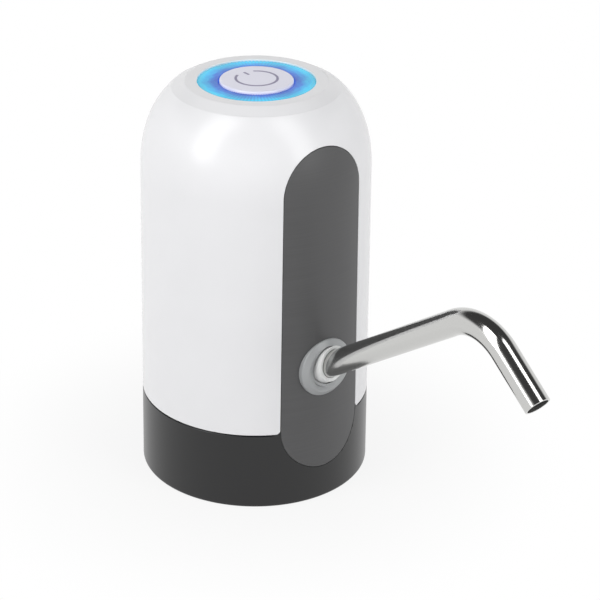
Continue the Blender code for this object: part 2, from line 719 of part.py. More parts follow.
def make_top_cap():
    """White cap: bevelled rim, flat face, a spigot into the shell, and posts for the board."""
    hole = RING_RADIUS + GAP
    wide_hole = RING_RADIUS + RING_FLANGE + GAP
    ledge = BODY_HEIGHT - RING_LEDGE
    under = BODY_HEIGHT - CAP_THICKNESS
    spigot = RIM_RADIUS - CAP_SEAT_WIDTH
    spigot_floor = BODY_HEIGHT - CAP_SPIGOT_DEPTH
    profile = [(hole, BODY_HEIGHT), (TOP_FLAT_RADIUS, BODY_HEIGHT), (RIM_RADIUS, RIM_HEIGHT),
               (spigot, RIM_HEIGHT), (spigot, spigot_floor), (spigot - CAP_SPIGOT_WALL, spigot_floor),
               (spigot - CAP_SPIGOT_WALL, under), (wide_hole, under), (wide_hole, ledge), (hole, ledge)]
    cap = new_piece("top_cap", turned(profile, BODY_STEPS), WHITE_ABS)
    for index, place in enumerate(board_screw_places(), 1):
        post = rod(CAP_POST_RADIUS, FLAT_STACK, under + CAP_THICKNESS / 2)
        add(cap, new_guide(f"cap_post_{index}", post, at(place)))
        pilot = rod(SCREW_HOLE, FLAT_STACK - OVERRUN, BOARD_FLOOR + SCREW_BITE + GAP, FINE_STEPS)
        cut(cap, new_guide(f"cap_pilot_{index}", pilot, at(place)))
    return cap


def board_screw_places():
    """Places of the cap's posts, against the inside of its spigot."""
    return around(BOARD_SCREW_COUNT, BOARD_SCREW_CIRCLE, math.pi / 2)


def make_light_ring():
    """Clear ring: a top plate with two skirts that stand on the board over the lamps."""
    top = BODY_HEIGHT - RING_RECESS
    shoulder = BODY_HEIGHT - RING_LEDGE - GAP
    outside = RING_RADIUS + RING_FLANGE
    bore = BUTTON_RADIUS + GAP
    skirt_bore = BUTTON_RADIUS + BUTTON_FLANGE + GAP
    lip = BODY_HEIGHT - RING_LIP_DROP
    roof = top - RING_PLATE
    profile = [(bore, top), (RING_RADIUS, top), (RING_RADIUS, shoulder), (outside, shoulder),
               (outside, FLAT_STACK), (outside - RING_WALL, FLAT_STACK), (outside - RING_WALL, roof),
               (skirt_bore + RING_WALL, roof), (skirt_bore + RING_WALL, FLAT_STACK),
               (skirt_bore, FLAT_STACK), (skirt_bore, lip), (bore, lip)]
    return new_piece("light_ring", turned(profile, RING_STEPS), BLUE_LENS)


def make_power_button():
    """Round button: crowned plate, skirt with a stop flange, and a stem over the switch."""
    top = BODY_HEIGHT + BUTTON_PROUD
    plate_floor = top - BUTTON_PLATE
    flange_top = BODY_HEIGHT - RING_LIP_DROP - GAP
    flange_floor = flange_top - BUTTON_FLANGE_HEIGHT
    skirt = BUTTON_RADIUS - BUTTON_SKIRT_WALL
    flange = BUTTON_RADIUS + BUTTON_FLANGE
    edge = arc((BUTTON_RADIUS - BUTTON_EDGE, top - BUTTON_EDGE), BUTTON_EDGE, 90, 0, 3)
    stem_floor = plunger_top() + GAP
    profile = ([(0, top)] + edge
               + [(BUTTON_RADIUS, flange_top), (flange, flange_top), (flange, flange_floor),
                  (skirt, flange_floor), (skirt, plate_floor), (BUTTON_STEM_RADIUS, plate_floor),
                  (BUTTON_STEM_RADIUS, stem_floor), (0, stem_floor)])
    return new_piece("power_button", turned(profile, RING_STEPS), PEARL_ABS)


def plunger_top():
    """Height of the switch plunger's top."""
    return FLAT_STACK + SWITCH_HEIGHT + PLUNGER_RISE


def plunger_floor():
    """Height of the plunger's foot, which clears the switch's floor when fully pressed."""
    return FLAT_STACK + SWITCH_FLOOR + BUTTON_TRAVEL + PLUNGER_FLOAT


def make_switch():
    """Push switch on the board, and the plunger that the button presses."""
    half = SWITCH_SIDE / 2
    switch = new_piece("tact_switch", block((-half, -half, FLAT_STACK),
                                            (half, half, FLAT_STACK + SWITCH_HEIGHT)), BLACK_PLASTIC)
    hole = rod(PLUNGER_RADIUS + GAP, FLAT_STACK + SWITCH_FLOOR, FLAT_STACK + SWITCH_HEIGHT + OVERRUN)
    cut(switch, new_guide("switch_hole", hole))
    new_piece("switch_plunger", rod(PLUNGER_RADIUS, plunger_floor(), plunger_top()), BLACK_PLASTIC)


def spring_points():
    """Centre line of the button's coil spring, from the board up to the button's plate."""
    low = FLAT_STACK + SPRING_WIRE
    high = BODY_HEIGHT + BUTTON_PROUD - BUTTON_PLATE - GAP - SPRING_WIRE
    count = SPRING_TURNS * SPRING_POINTS
    points = []
    for index in range(count + 1):
        turn = 2 * math.pi * index / SPRING_POINTS
        height = low + (high - low) * index / count
        points.append(Vector((SPRING_RADIUS * math.cos(turn), SPRING_RADIUS * math.sin(turn), height)))
    return points


def make_button_spring():
    """Coil spring round the switch, one unbroken wire."""
    points = spring_points()
    gap = min((points[index + SPRING_POINTS] - points[index]).length
              for index in range(len(points) - SPRING_POINTS)) - 2 * SPRING_WIRE
    print("button spring: least gap between turns, mm:", round(gap * 1000, 3))
    bm = swept(stations_on(points), SPRING_WIRE, 0, SPRING_FACETS,
               lambda centre: Vector((centre.x, centre.y, 0)))
    return new_piece("button_spring", bm, STEEL)


def make_main_board():
    """Round control board, screwed up against the cap's posts."""
    board = new_piece("main_board", rod(BOARD_RADIUS, BOARD_FLOOR, BOARD_TOP, RING_STEPS), GREEN_BOARD)
    for index, place in enumerate(board_screw_places(), 1):
        hole = rod(SCREW_HOLE, BOARD_FLOOR - OVERRUN, BOARD_TOP + OVERRUN, FINE_STEPS)
        cut(board, new_guide(f"board_hole_{index}", hole, at(place)))
        tip = place + Vector((0, 0, BOARD_FLOOR + SCREW_BITE))
        make_screw(f"board_screw_{index}", tip, ZINC, SCREW_BITE + GAP)
    return board


def make_leds():
    """Lamps on the board, in the channel between the light ring's skirts."""
    radius = (LAMP_CHANNEL_INSIDE + LAMP_CHANNEL_OUTSIDE) / 2
    half_width = LAMP_CHANNEL_OUTSIDE - radius - LED_SIDE_GAP
    for index, place in enumerate(around(LED_COUNT, radius), 1):
        bm = block((-half_width, -LED_LENGTH / 2, FLAT_STACK),
                   (half_width, LED_LENGTH / 2, FLAT_STACK + LED_HEIGHT))
        turn = Matrix.Rotation(math.atan2(place.y, place.x), 4, "Z")
        new_piece(f"led_{index}", bm, LAMP_WHITE, at(place) @ turn)


def make_spout_collar():
    """Grey flange that hugs the strip, with a slanted stub for the spout behind it."""
    back = -FLANGE_RADIUS / 2
    face = FLANGE_HEIGHT
    edge = arc((FLANGE_FACE_RADIUS - FLANGE_EDGE, face - FLANGE_EDGE), FLANGE_EDGE, 90, 50, 2)
    profile = [(0, face)] + edge + [(FLANGE_RADIUS, FLANGE_EDGE), (FLANGE_RADIUS, back), (0, back)]
    flange_place = at((0, 0, -FLANGE_DROP)) @ FRONT_FRAME
    collar = new_piece("spout_collar", turned(profile, RING_STEPS), GREY_ABS, flange_place)
    low = SPOUT_HEIGHT - FLANGE_RADIUS * 2
    high = SPOUT_HEIGHT + FLANGE_RADIUS * 2
    body = turned([(0, low)] + skin_line(-GAP, low, high) + [(0, high)], BODY_STEPS)
    cut(collar, new_guide("collar_seat", body))
    stub = new_guide("collar_stub", rod(STUB_RADIUS, -STUB_DEPTH, OVERRUN * 2, MID_STEPS), SPOUT_FRAME)
    front = SPOUT_ROOT.y - GAP - FLANGE_HEIGHT / 4
    trim_low = (-FLANGE_RADIUS, front - FLANGE_RADIUS * 2, low)
    trim_high = (FLANGE_RADIUS, front, high)
    cut(stub, new_guide("collar_stub_trim", block(trim_low, trim_high)))
    add(collar, stub)
    bore = rod(STUB_BORE, -STUB_DEPTH - OVERRUN, STUB_DEPTH, MID_STEPS)
    cut(collar, new_guide("collar_bore", bore, SPOUT_FRAME))
    return collar


def make_spout_socket():
    """Inner cup over the collar's stub, with a barb for the outlet tube."""
    mouth = SOCKET_GRIP - STUB_DEPTH
    profile = [(SOCKET_BORE, mouth), (SOCKET_RADIUS, mouth), (SOCKET_RADIUS, -SOCKET_BACK),
               (BARB_RADIUS, -SOCKET_BACK), (BARB_RADIUS, -SOCKET_TAIL + BARB_STEP * 6),
               (BARB_RADIUS + BARB_STEP, -SOCKET_TAIL + BARB_STEP * 5), (BARB_RADIUS - BARB_STEP, -SOCKET_TAIL),
               (BARB_BORE, -SOCKET_TAIL), (BARB_BORE, -SOCKET_SEAT), (SOCKET_BORE, -SOCKET_SEAT)]
    return new_piece("spout_socket", turned(profile, MID_STEPS), BLACK_PLASTIC, SPOUT_FRAME)


def make_spout_sleeve():
    """Silicone sleeve on the spout's root, cut off in line with the flange's face."""
    lip_bore = SLEEVE_BORE - SLEEVE_LIP_WIDTH
    long_end = SLEEVE_DEPTH
    profile = [(SLEEVE_BORE, long_end), (SLEEVE_RADIUS, long_end), (SLEEVE_RADIUS, -SLEEVE_DEPTH),
               (lip_bore, -SLEEVE_DEPTH), (lip_bore, SLEEVE_LIP - SLEEVE_DEPTH),
               (SLEEVE_BORE, SLEEVE_LIP - SLEEVE_DEPTH)]
    sleeve = new_piece("spout_sleeve", turned(profile, MID_STEPS), PALE_SILICONE, SPOUT_FRAME)
    front = SPOUT_ROOT.y - FLANGE_HEIGHT - SLEEVE_PROUD
    low = (-SLEEVE_RADIUS * 2, front - SLEEVE_DEPTH * 2, SPOUT_HEIGHT - SLEEVE_DEPTH * 2)
    high = (SLEEVE_RADIUS * 2, front, SPOUT_HEIGHT + SLEEVE_DEPTH * 3)
    cut(sleeve, new_guide("sleeve_trim", block(low, high)))
    return sleeve


def make_spout_pipe():
    """Bent steel tube: a straight run out of the sleeve, one bend, and a leg down to its mouth."""
    start = SLEEVE_LIP + GAP - SLEEVE_DEPTH
    corner = (PIPE_CORNER_REACH + SPOUT_ROOT.y) / math.cos(SPOUT_TILT)
    bend_start = corner - PIPE_BEND_RADIUS * math.tan(PIPE_BEND_ANGLE / 2)
    stations = [(Vector((0, 0, start)), Vector((0, 0, 1)))]
    for step in range(PIPE_BEND_STEPS + 1):
        turn = PIPE_BEND_ANGLE * step / PIPE_BEND_STEPS
        inward = PIPE_BEND_RADIUS * (math.cos(turn) - 1)
        centre = Vector((0, inward, bend_start + PIPE_BEND_RADIUS * math.sin(turn)))
        stations.append((centre, Vector((0, -math.sin(turn), math.cos(turn)))))
    stations.append((stations[-1][0] + stations[-1][1] * PIPE_LEG, stations[-1][1]))
    bm = swept(stations, PIPE_RADIUS, PIPE_RADIUS - PIPE_WALL, MID_STEPS)
    return new_piece("spout_pipe", bm, STEEL, SPOUT_FRAME)


def make_outlet_tube():
    """Silicone tube from the socket's barb down, round and up to the pump's outlet barb."""
    start = SPOUT_ROOT - SPOUT_OUT * (SOCKET_BACK + GAP)
    bend = SPOUT_ROOT - SPOUT_OUT * (SOCKET_TAIL + TUBE_RUN)
    outlet_y = PUMP_CENTRE.y - PORT_OFFSET
    radius = (outlet_y - bend.y) / (1 + math.sin(SPOUT_TILT))
    points = [start]
    for step in range(HOSE_BEND_STEPS + 1):
        turn = -SPOUT_TILT + (math.pi / 2 + SPOUT_TILT) * step / HOSE_BEND_STEPS
        along = radius * (math.sin(turn) + math.sin(SPOUT_TILT))
        rise = radius * (math.cos(SPOUT_TILT) - math.cos(turn))
        points.append(bend + Vector((0, along, rise)))
    points.append(Vector((0, outlet_y, PUMP_FLOOR - GAP)))
    bm = swept(stations_on(points), TUBE_RADIUS, TUBE_BORE, SMALL_STEPS)
    return new_piece("outlet_tube", bm, PALE_SILICONE)


def make_inlet_tube():
    """Silicone tube straight up from the nipple to the pump's inlet barb."""
    low = TRAY_TOP + GAP + NIPPLE_FLANGE_HEIGHT + GAP
    bm = ring(TUBE_BORE, TUBE_RADIUS, low, PUMP_FLOOR - GAP)
    return new_piece("inlet_tube", bm, PALE_SILICONE)


def make_suction_nipple():
    """Barbed fitting through the tray: hose barb below, tube barb above."""
    flange_floor = TRAY_TOP + GAP
    flange_top = flange_floor + NIPPLE_FLANGE_HEIGHT
    barb_top = TRAY_FLOOR - GAP
    pitch = NIPPLE_DROP / NIPPLE_BARB_COUNT
    tip = barb_top - NIPPLE_DROP
    barbs = []
    for index in range(NIPPLE_BARB_COUNT):
        low = tip + pitch * index
        barbs += [(NIPPLE_RADIUS - NIPPLE_BARB_STEP, low), (NIPPLE_RADIUS + NIPPLE_BARB_STEP, low + pitch / 2),
                  (NIPPLE_RADIUS - NIPPLE_BARB_STEP, low + pitch / 2)]
    profile = ([(NIPPLE_BORE, tip)] + barbs
               + [(NIPPLE_RADIUS - NIPPLE_BARB_STEP, barb_top), (NIPPLE_BODY_RADIUS, barb_top),
                  (NIPPLE_BODY_RADIUS, flange_floor), (NIPPLE_FLANGE_RADIUS, flange_floor),
                  (NIPPLE_FLANGE_RADIUS, flange_top), (BARB_RADIUS, flange_top),
                  (BARB_RADIUS, flange_top + NIPPLE_RISE), (NIPPLE_BORE, flange_top + NIPPLE_RISE)])
    return new_piece("suction_nipple", turned(profile, SMALL_STEPS), ACETAL)


def ear_places():
    """Places of the two ears that the pump stands on."""
    return [PUMP_CENTRE + EAR_OUT, PUMP_CENTRE - EAR_OUT]


def pump_screw_places():
    """Places of the screws that close the pump."""
    return [PUMP_CENTRE + place for place in around(4, PUMP_SCREW_CIRCLE, math.pi / 4)]


def port_places():
    """Places of the outlet and the inlet port."""
    return [PUMP_CENTRE - Vector((0, PORT_OFFSET, 0)), PUMP_CENTRE + Vector((0, PORT_OFFSET, 0))]


def make_pump_cover():
    """Lower half of the pump: a plate with two ears and two barbs."""
    circles = [(PUMP_CENTRE.x, PUMP_CENTRE.y, PUMP_RADIUS)]
    circles += [(place.x, place.y, EAR_RADIUS) for place in ear_places()]
    top = PUMP_FLOOR + PUMP_COVER_THICKNESS
    cover = new_piece("pump_cover", extruded(wrapped(circles, MID_STEPS), PUMP_FLOOR, top), BLACK_PLASTIC)
    for index, place in enumerate(port_places(), 1):
        barb = rod(BARB_RADIUS, PUMP_FLOOR - NIPPLE_RISE, PUMP_FLOOR + PUMP_COVER_THICKNESS / 2)
        add(cover, new_guide(f"port_barb_{index}", barb, at(place)))
        bore = rod(PORT_BORE, PUMP_FLOOR - NIPPLE_RISE - OVERRUN, top + OVERRUN, FINE_STEPS)
        cut(cover, new_guide(f"port_bore_{index}", bore, at(place)))
    for index, place in enumerate(ear_places() + pump_screw_places(), 1):
        hole = rod(SCREW_HOLE, PUMP_FLOOR - OVERRUN, top + OVERRUN, FINE_STEPS)
        cut(cover, new_guide(f"cover_hole_{index}", hole, at(place)))
    axle_hole = rod(AXLE_RADIUS + RUNNING_GAP, top - AXLE_BITE - GAP, top + OVERRUN)
    cut(cover, new_guide("cover_axle_hole", axle_hole, at(IDLER_CENTRE)))
    return cover


def make_pump_housing():
    """Upper half of the pump: two round gear chambers, port pockets and the seal's recess."""
    housing = new_piece("pump_housing", rod(PUMP_RADIUS, PUMP_PARTING, PUMP_TOP, MID_STEPS),
                        BLACK_PLASTIC, at(PUMP_CENTRE))
    chamber_radius = PITCH_RADIUS + GEAR_MODULE * GEAR_TIP_SHARE + GEAR_TIP_GAP
    for index, place in enumerate((DRIVE_CENTRE, IDLER_CENTRE), 1):
        chamber = rod(chamber_radius, PUMP_PARTING - OVERRUN, CHAMBER_TOP, MID_STEPS)
        cut(housing, new_guide(f"gear_chamber_{index}", chamber, at(place)))
    reach = PORT_OFFSET + PORT_BORE
    for side in (-1, 1):
        ends = sorted((PUMP_CENTRE.y + side * PORT_POCKET_START, PUMP_CENTRE.y + side * reach))
        pocket = block((-PORT_POCKET_HALF_WIDTH, ends[0], PUMP_PARTING - OVERRUN),
                       (PORT_POCKET_HALF_WIDTH, ends[1], CHAMBER_TOP - GEAR_SIDE_GAP))
        cut(housing, new_guide(f"port_pocket_{side}", pocket))
    for index, place in enumerate(pump_screw_places(), 1):
        pilot = rod(SCREW_HOLE, PUMP_PARTING - OVERRUN, PUMP_PARTING + PUMP_SCREW_BITE + GAP, FINE_STEPS)
        cut(housing, new_guide(f"housing_pilot_{index}", pilot, at(place)))
    axle_hole = rod(AXLE_RADIUS + RUNNING_GAP, CHAMBER_TOP - OVERRUN, CHAMBER_TOP + AXLE_BITE + GAP)
    cut(housing, new_guide("housing_axle_hole", axle_hole, at(IDLER_CENTRE)))
    seal_floor = PUMP_TOP - SEAL_HEIGHT
    shaft_hole = turned_off_axis([(0, CHAMBER_TOP - OVERRUN), (SHAFT_RADIUS + GAP, CHAMBER_TOP - OVERRUN),
                                  (SHAFT_RADIUS + GAP, seal_floor), (SEAL_RADIUS + GAP, seal_floor),
                                  (SEAL_RADIUS + GAP, PUMP_TOP + OVERRUN), (0, PUMP_TOP + OVERRUN)],
                                 SMALL_STEPS)
    cut(housing, new_guide("shaft_hole", shaft_hole, at(DRIVE_CENTRE)))
    return housing


def make_pump_screws():
    """Screws that close the pump from below, and the two that fix its ears to the tray's posts."""
    for index, place in enumerate(pump_screw_places(), 1):
        tip = place + Vector((0, 0, PUMP_PARTING + PUMP_SCREW_BITE))
        bite = PUMP_PARTING + PUMP_SCREW_BITE - PUMP_FLOOR + GAP
        make_screw(f"pump_screw_{index}", tip, ZINC, bite)
    for index, place in enumerate(ear_places(), 1):
        tip = place + Vector((0, 0, PUMP_FLOOR - PUMP_SCREW_BITE))
        bite = PUMP_SCREW_BITE + PUMP_COVER_THICKNESS + GAP
        make_screw(f"pump_foot_screw_{index}", tip, ZINC, bite, downward=True)


def gear_outline(half_tooth_turn):
    """Outline of a spur gear with involute flanks, turned by an angle."""
    base = PITCH_RADIUS * math.cos(GEAR_PRESSURE_ANGLE)
    tip = PITCH_RADIUS + GEAR_MODULE * GEAR_TIP_SHARE
    root = PITCH_RADIUS - GEAR_MODULE * GEAR_ROOT_SHARE

    def spread(radius):
        unroll = math.acos(base / radius)
        return math.tan(unroll) - unroll

    half = math.pi / 2 / GEAR_TEETH - GEAR_BACKLASH / 2 / PITCH_RADIUS + spread(PITCH_RADIUS)
    flank = [(root, half), (base, half), (tip, half - spread(tip))]
    points = []
    for tooth in range(GEAR_TEETH):
        middle = half_tooth_turn + 2 * math.pi * tooth / GEAR_TEETH
        points += [(radius * math.cos(middle - turn), radius * math.sin(middle - turn))
                   for radius, turn in flank]
        points += [(radius * math.cos(middle + turn), radius * math.sin(middle + turn))
                   for radius, turn in reversed(flank)]
    return points


def make_gears():
    """Drive gear on the motor's shaft, and the idler gear on its own axle, in mesh."""
    top = GEAR_FLOOR + GEAR_THICKNESS
    for name, place, turn, bore in (
            ("drive_gear", DRIVE_CENTRE, math.pi / GEAR_TEETH, SHAFT_RADIUS),
            ("idler_gear", IDLER_CENTRE, 0.0, AXLE_RADIUS)):
        gear = new_piece(name, extruded(gear_outline(turn), GEAR_FLOOR, top), ACETAL, at(place))
        hole = rod(bore + RUNNING_GAP, GEAR_FLOOR - OVERRUN, top + OVERRUN)
        cut(gear, new_guide(name + "_bore", hole, at(place)))
    axle_low = PUMP_FLOOR + PUMP_COVER_THICKNESS - AXLE_BITE
    axle = rod(AXLE_RADIUS, axle_low, CHAMBER_TOP + AXLE_BITE)
    new_piece("idler_axle", axle, STEEL, at(IDLER_CENTRE))


def make_shaft_seal():
    """Rubber seal round the shaft, in the top of the pump."""
    bm = ring(SHAFT_RADIUS + RUNNING_GAP, SEAL_RADIUS, PUMP_TOP - SEAL_HEIGHT + GAP, PUMP_TOP)
    return new_piece("shaft_seal", bm, BLACK_RUBBER, at(DRIVE_CENTRE))


def make_motor_case():
    """Steel can with its front bearing seat, and the end cap with the rear one."""
    seat = BEARING_RADIUS + GAP
    seat_outside = seat + BEARING_SEAT_WALL
    inside = MOTOR_RADIUS - MOTOR_WALL
    seat_top = MOTOR_FLOOR + BEARING_HEIGHT
    profile = [(seat, MOTOR_FLOOR), (MOTOR_RADIUS, MOTOR_FLOOR), (MOTOR_RADIUS, MOTOR_TOP),
               (inside, MOTOR_TOP), (inside, MOTOR_FLOOR + MOTOR_WALL),
               (seat_outside, MOTOR_FLOOR + MOTOR_WALL), (seat_outside, seat_top), (seat, seat_top)]
    new_piece("motor_can", turned(profile, MID_STEPS), ZINC, at(DRIVE_CENTRE))
    lower = MOTOR_CAP_FLOOR - BEARING_HEIGHT
    shaft_hole = SHAFT_RADIUS + GAP
    cap = [(seat, lower), (seat_outside, lower), (seat_outside, MOTOR_CAP_FLOOR),
           (inside - GAP, MOTOR_CAP_FLOOR), (inside - GAP, MOTOR_TOP), (shaft_hole, MOTOR_TOP),
           (shaft_hole, MOTOR_CAP_FLOOR), (seat, MOTOR_CAP_FLOOR)]
    new_piece("motor_end_cap", turned(cap, MID_STEPS), BLACK_PLASTIC, at(DRIVE_CENTRE))
    bore = SHAFT_RADIUS + RUNNING_GAP
    for name, low in (("front_bearing", MOTOR_FLOOR), ("rear_bearing", lower - GAP)):
        new_piece(name, ring(bore, BEARING_RADIUS, low, low + BEARING_HEIGHT), BRONZE, at(DRIVE_CENTRE))


def sector_outline(inner, outer, middle, half, steps):
    """Outline of a piece of a ring."""
    start = math.degrees(middle - half)
    end = math.degrees(middle + half)
    return arc((0, 0), outer, start, end, steps) + arc((0, 0), inner, end, start, steps)


def make_rotor():
    """Shaft from the drive gear to the rear bearing, and the three-pole armature on it."""
    shaft = rod(SHAFT_RADIUS, GEAR_FLOOR, MOTOR_TOP)
    new_piece("motor_shaft", shaft, STEEL, at(DRIVE_CENTRE))
    magnet_bore = MOTOR_RADIUS - MOTOR_WALL - GAP - MAGNET_WALL
    radius = magnet_bore - ARMATURE_GAP
    middle = (MOTOR_FLOOR + MOTOR_TOP) / 2
    low = middle - ARMATURE_HEIGHT / 2
    high = middle + ARMATURE_HEIGHT / 2
    core = ring(SHAFT_RADIUS + RUNNING_GAP, ARMATURE_CORE_RADIUS, low, high)
    armature = new_piece("armature", core, COPPER, at(DRIVE_CENTRE))
    for index in range(ARMATURE_POLES):
        turn = 2 * math.pi * index / ARMATURE_POLES
        neck = block((ARMATURE_CORE_RADIUS - ARMATURE_SHOE / 2, -ARMATURE_NECK_HALF_WIDTH, low),
                     (radius - ARMATURE_SHOE / 2, ARMATURE_NECK_HALF_WIDTH, high))
        place = at(DRIVE_CENTRE) @ Matrix.Rotation(turn, 4, "Z")
        add(armature, new_guide(f"pole_neck_{index}", neck, place))
        shoe = extruded(sector_outline(radius - ARMATURE_SHOE, radius, 0, ARMATURE_POLE_HALF_ANGLE, 8), low, high)
        add(armature, new_guide(f"pole_shoe_{index}", shoe, place))
    magnet_low = middle - MAGNET_HEIGHT / 2
    for index in range(2):
        outline = sector_outline(magnet_bore, magnet_bore + MAGNET_WALL, math.pi * index, MAGNET_HALF_ANGLE, 8)
        bm = extruded(outline, magnet_low, magnet_low + MAGNET_HEIGHT)
        new_piece(f"magnet_{index + 1}", bm, FERRITE, at(DRIVE_CENTRE))


def make_battery():
    """Round cell standing in the tray's cup, and the band that ties it to the motor."""
    low = BATTERY_FLOOR
    high = BATTERY_TOP
    profile = [(0, low), (BATTERY_RADIUS - BATTERY_EDGE, low), (BATTERY_RADIUS, low + BATTERY_EDGE),
               (BATTERY_RADIUS, high - BATTERY_EDGE), (BATTERY_RADIUS - BATTERY_EDGE, high),
               (BATTERY_NUB_RADIUS, high), (BATTERY_NUB_RADIUS, high + BATTERY_NUB_HEIGHT),
               (0, high + BATTERY_NUB_HEIGHT)]
    new_piece("battery_cell", turned(profile, MID_STEPS), BLUE_SLEEVE, at(BATTERY_CENTRE))
    band = []
    for spare in (GAP + TIE_WALL, GAP):
        band.append([(DRIVE_CENTRE.x, DRIVE_CENTRE.y, MOTOR_RADIUS + spare),
                     (BATTERY_CENTRE.x, BATTERY_CENTRE.y, BATTERY_RADIUS + spare)])
    tie_low = MOTOR_TOP - TIE_DROP
    tie_high = tie_low + TIE_WIDTH
    tie = new_piece("battery_tie", extruded(wrapped(band[0], MID_STEPS), tie_low, tie_high), BLACK_PLASTIC)
    inside = extruded(wrapped(band[1], MID_STEPS), tie_low - OVERRUN, tie_high + OVERRUN)
    cut(tie, new_guide("tie_inside", inside))


def make_charge_inlet():
    """Small board on two posts at the back, and the socket whose mouth shows in the shell's slot."""
    board = block((-CHARGE_BOARD_HALF_WIDTH, CHARGE_FRONT, CHARGE_FLOOR),
                  (CHARGE_BOARD_HALF_WIDTH, CHARGE_BACK, CHARGE_TOP))
    new_piece("charge_board", board, GREEN_BOARD)
    low = (-USB_HALF_WIDTH, USB_BACK - USB_DEPTH, USB_FLOOR)
    high = (USB_HALF_WIDTH, USB_BACK, USB_FLOOR + USB_HEIGHT)
    socket = new_piece("usb_socket", block(low, high), STEEL)
    mouth_low = (USB_WALL - USB_HALF_WIDTH, USB_BACK - USB_MOUTH_DEPTH, USB_FLOOR + USB_WALL)
    mouth_high = (USB_HALF_WIDTH - USB_WALL, USB_BACK + OVERRUN, USB_FLOOR + USB_HEIGHT - USB_WALL)
    cut(socket, new_guide("usb_mouth", block(mouth_low, mouth_high)))


def smooth_route(points, steps):
    """Read a smooth curve through route points."""
    route = []
    padded = [points[0] * 2 - points[1]] + points + [points[-1] * 2 - points[-2]]
    for p0, p1, p2, p3 in zip(padded, padded[1:], padded[2:], padded[3:]):
        for step in range(steps):
            t = step / steps
            route.append((p1 * 2 + (p2 - p0) * t + (p0 * 2 - p1 * 5 + p2 * 4 - p3) * t ** 2
                          + (p1 * 3 - p0 - p2 * 3 + p3) * t ** 3) / 2)
    return route + [points[-1]]


def make_lead(name, points, radius, finish):
    """An insulated lead: a round cord along a smooth route."""
    bm = swept(stations_on(smooth_route(points, LEAD_STEPS)), radius, 0, LEAD_FACETS)
    return new_piece(name, bm, finish)


def make_leads():
    """Leads from the motor, the battery and the charge board up to the control board."""
    high = BOARD_FLOOR - GAP
    for side, finish, word in ((1, RED_PVC, "red"), (-1, BLACK_PLASTIC, "black")):
        spread = Vector((0, side * LEAD_SPACING / 2, 0))
        motor_start = DRIVE_CENTRE + spread * 3 + Vector((0, 0, MOTOR_TOP + GAP))
        motor_end = Vector((MOTOR_PAD_REACH, 0, high)) + spread
        middle = (motor_start + motor_end) / 2 + Vector((LEAD_SLACK, 0, 0))
        make_lead("motor_lead_" + word, [motor_start, middle, motor_end], LEAD_RADIUS, finish)
        top = BATTERY_TOP + (BATTERY_NUB_HEIGHT if side > 0 else 0) + GAP
        outward = Vector((0, 0 if side > 0 else -BATTERY_NUB_RADIUS * 2, 0))
        battery_start = BATTERY_CENTRE + outward + Vector((0, 0, top))
        battery_end = Vector((-BATTERY_PAD_REACH, 0, high)) + spread
        middle = (battery_start + battery_end) / 2 - Vector((LEAD_SLACK, 0, 0))
        make_lead("battery_lead_" + word, [battery_start, middle, battery_end], LEAD_RADIUS, finish)
    start = Vector((0, CHARGE_FRONT + CABLE_RADIUS * 2, CHARGE_TOP + GAP))
    end = Vector((0, CABLE_PAD_REACH, high))
    middle = (start + end) / 2 + Vector((0, CABLE_RADIUS, 0))
    make_lead("charge_cable", [start, middle, end], CABLE_RADIUS, BLACK_PLASTIC)


clear_scene()
make_base()
make_neck_gasket()
make_outer_shell()
make_front_panel()
make_chassis_tray()
make_base_screws()
make_top_cap()
make_light_ring()
make_power_button()
make_switch()
make_button_spring()
make_main_board()
make_leds()
make_spout_collar()
make_spout_socket()
make_spout_sleeve()
make_spout_pipe()
make_outlet_tube()
make_inlet_tube()
make_suction_nipple()
make_pump_cover()
make_pump_housing()
make_pump_screws()
make_gears()
make_shaft_seal()
make_motor_case()
make_rotor()
make_battery()
make_charge_inlet()
make_leads()
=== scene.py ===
# %% [markdown]
# # A bottled water pump, dressed piece by piece
# The pump stands on the neck of a large water bottle. It has a white moulded housing on a black
# foot, a dark strip down its front with a bent steel spout, and a push button in a lit ring on top.
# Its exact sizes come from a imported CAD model, which loads here as a fixed frame. Each lesson below
# takes one visible piece, models it finer than the CAD solid, and gives it the finish of the real one.
# Everything is in metres, +Z is up, the body's axis is the Z axis, and the spout points to -Y.

# %% Load the frame
import json
import math

import bmesh
import bpy
from mathutils import Matrix, Vector


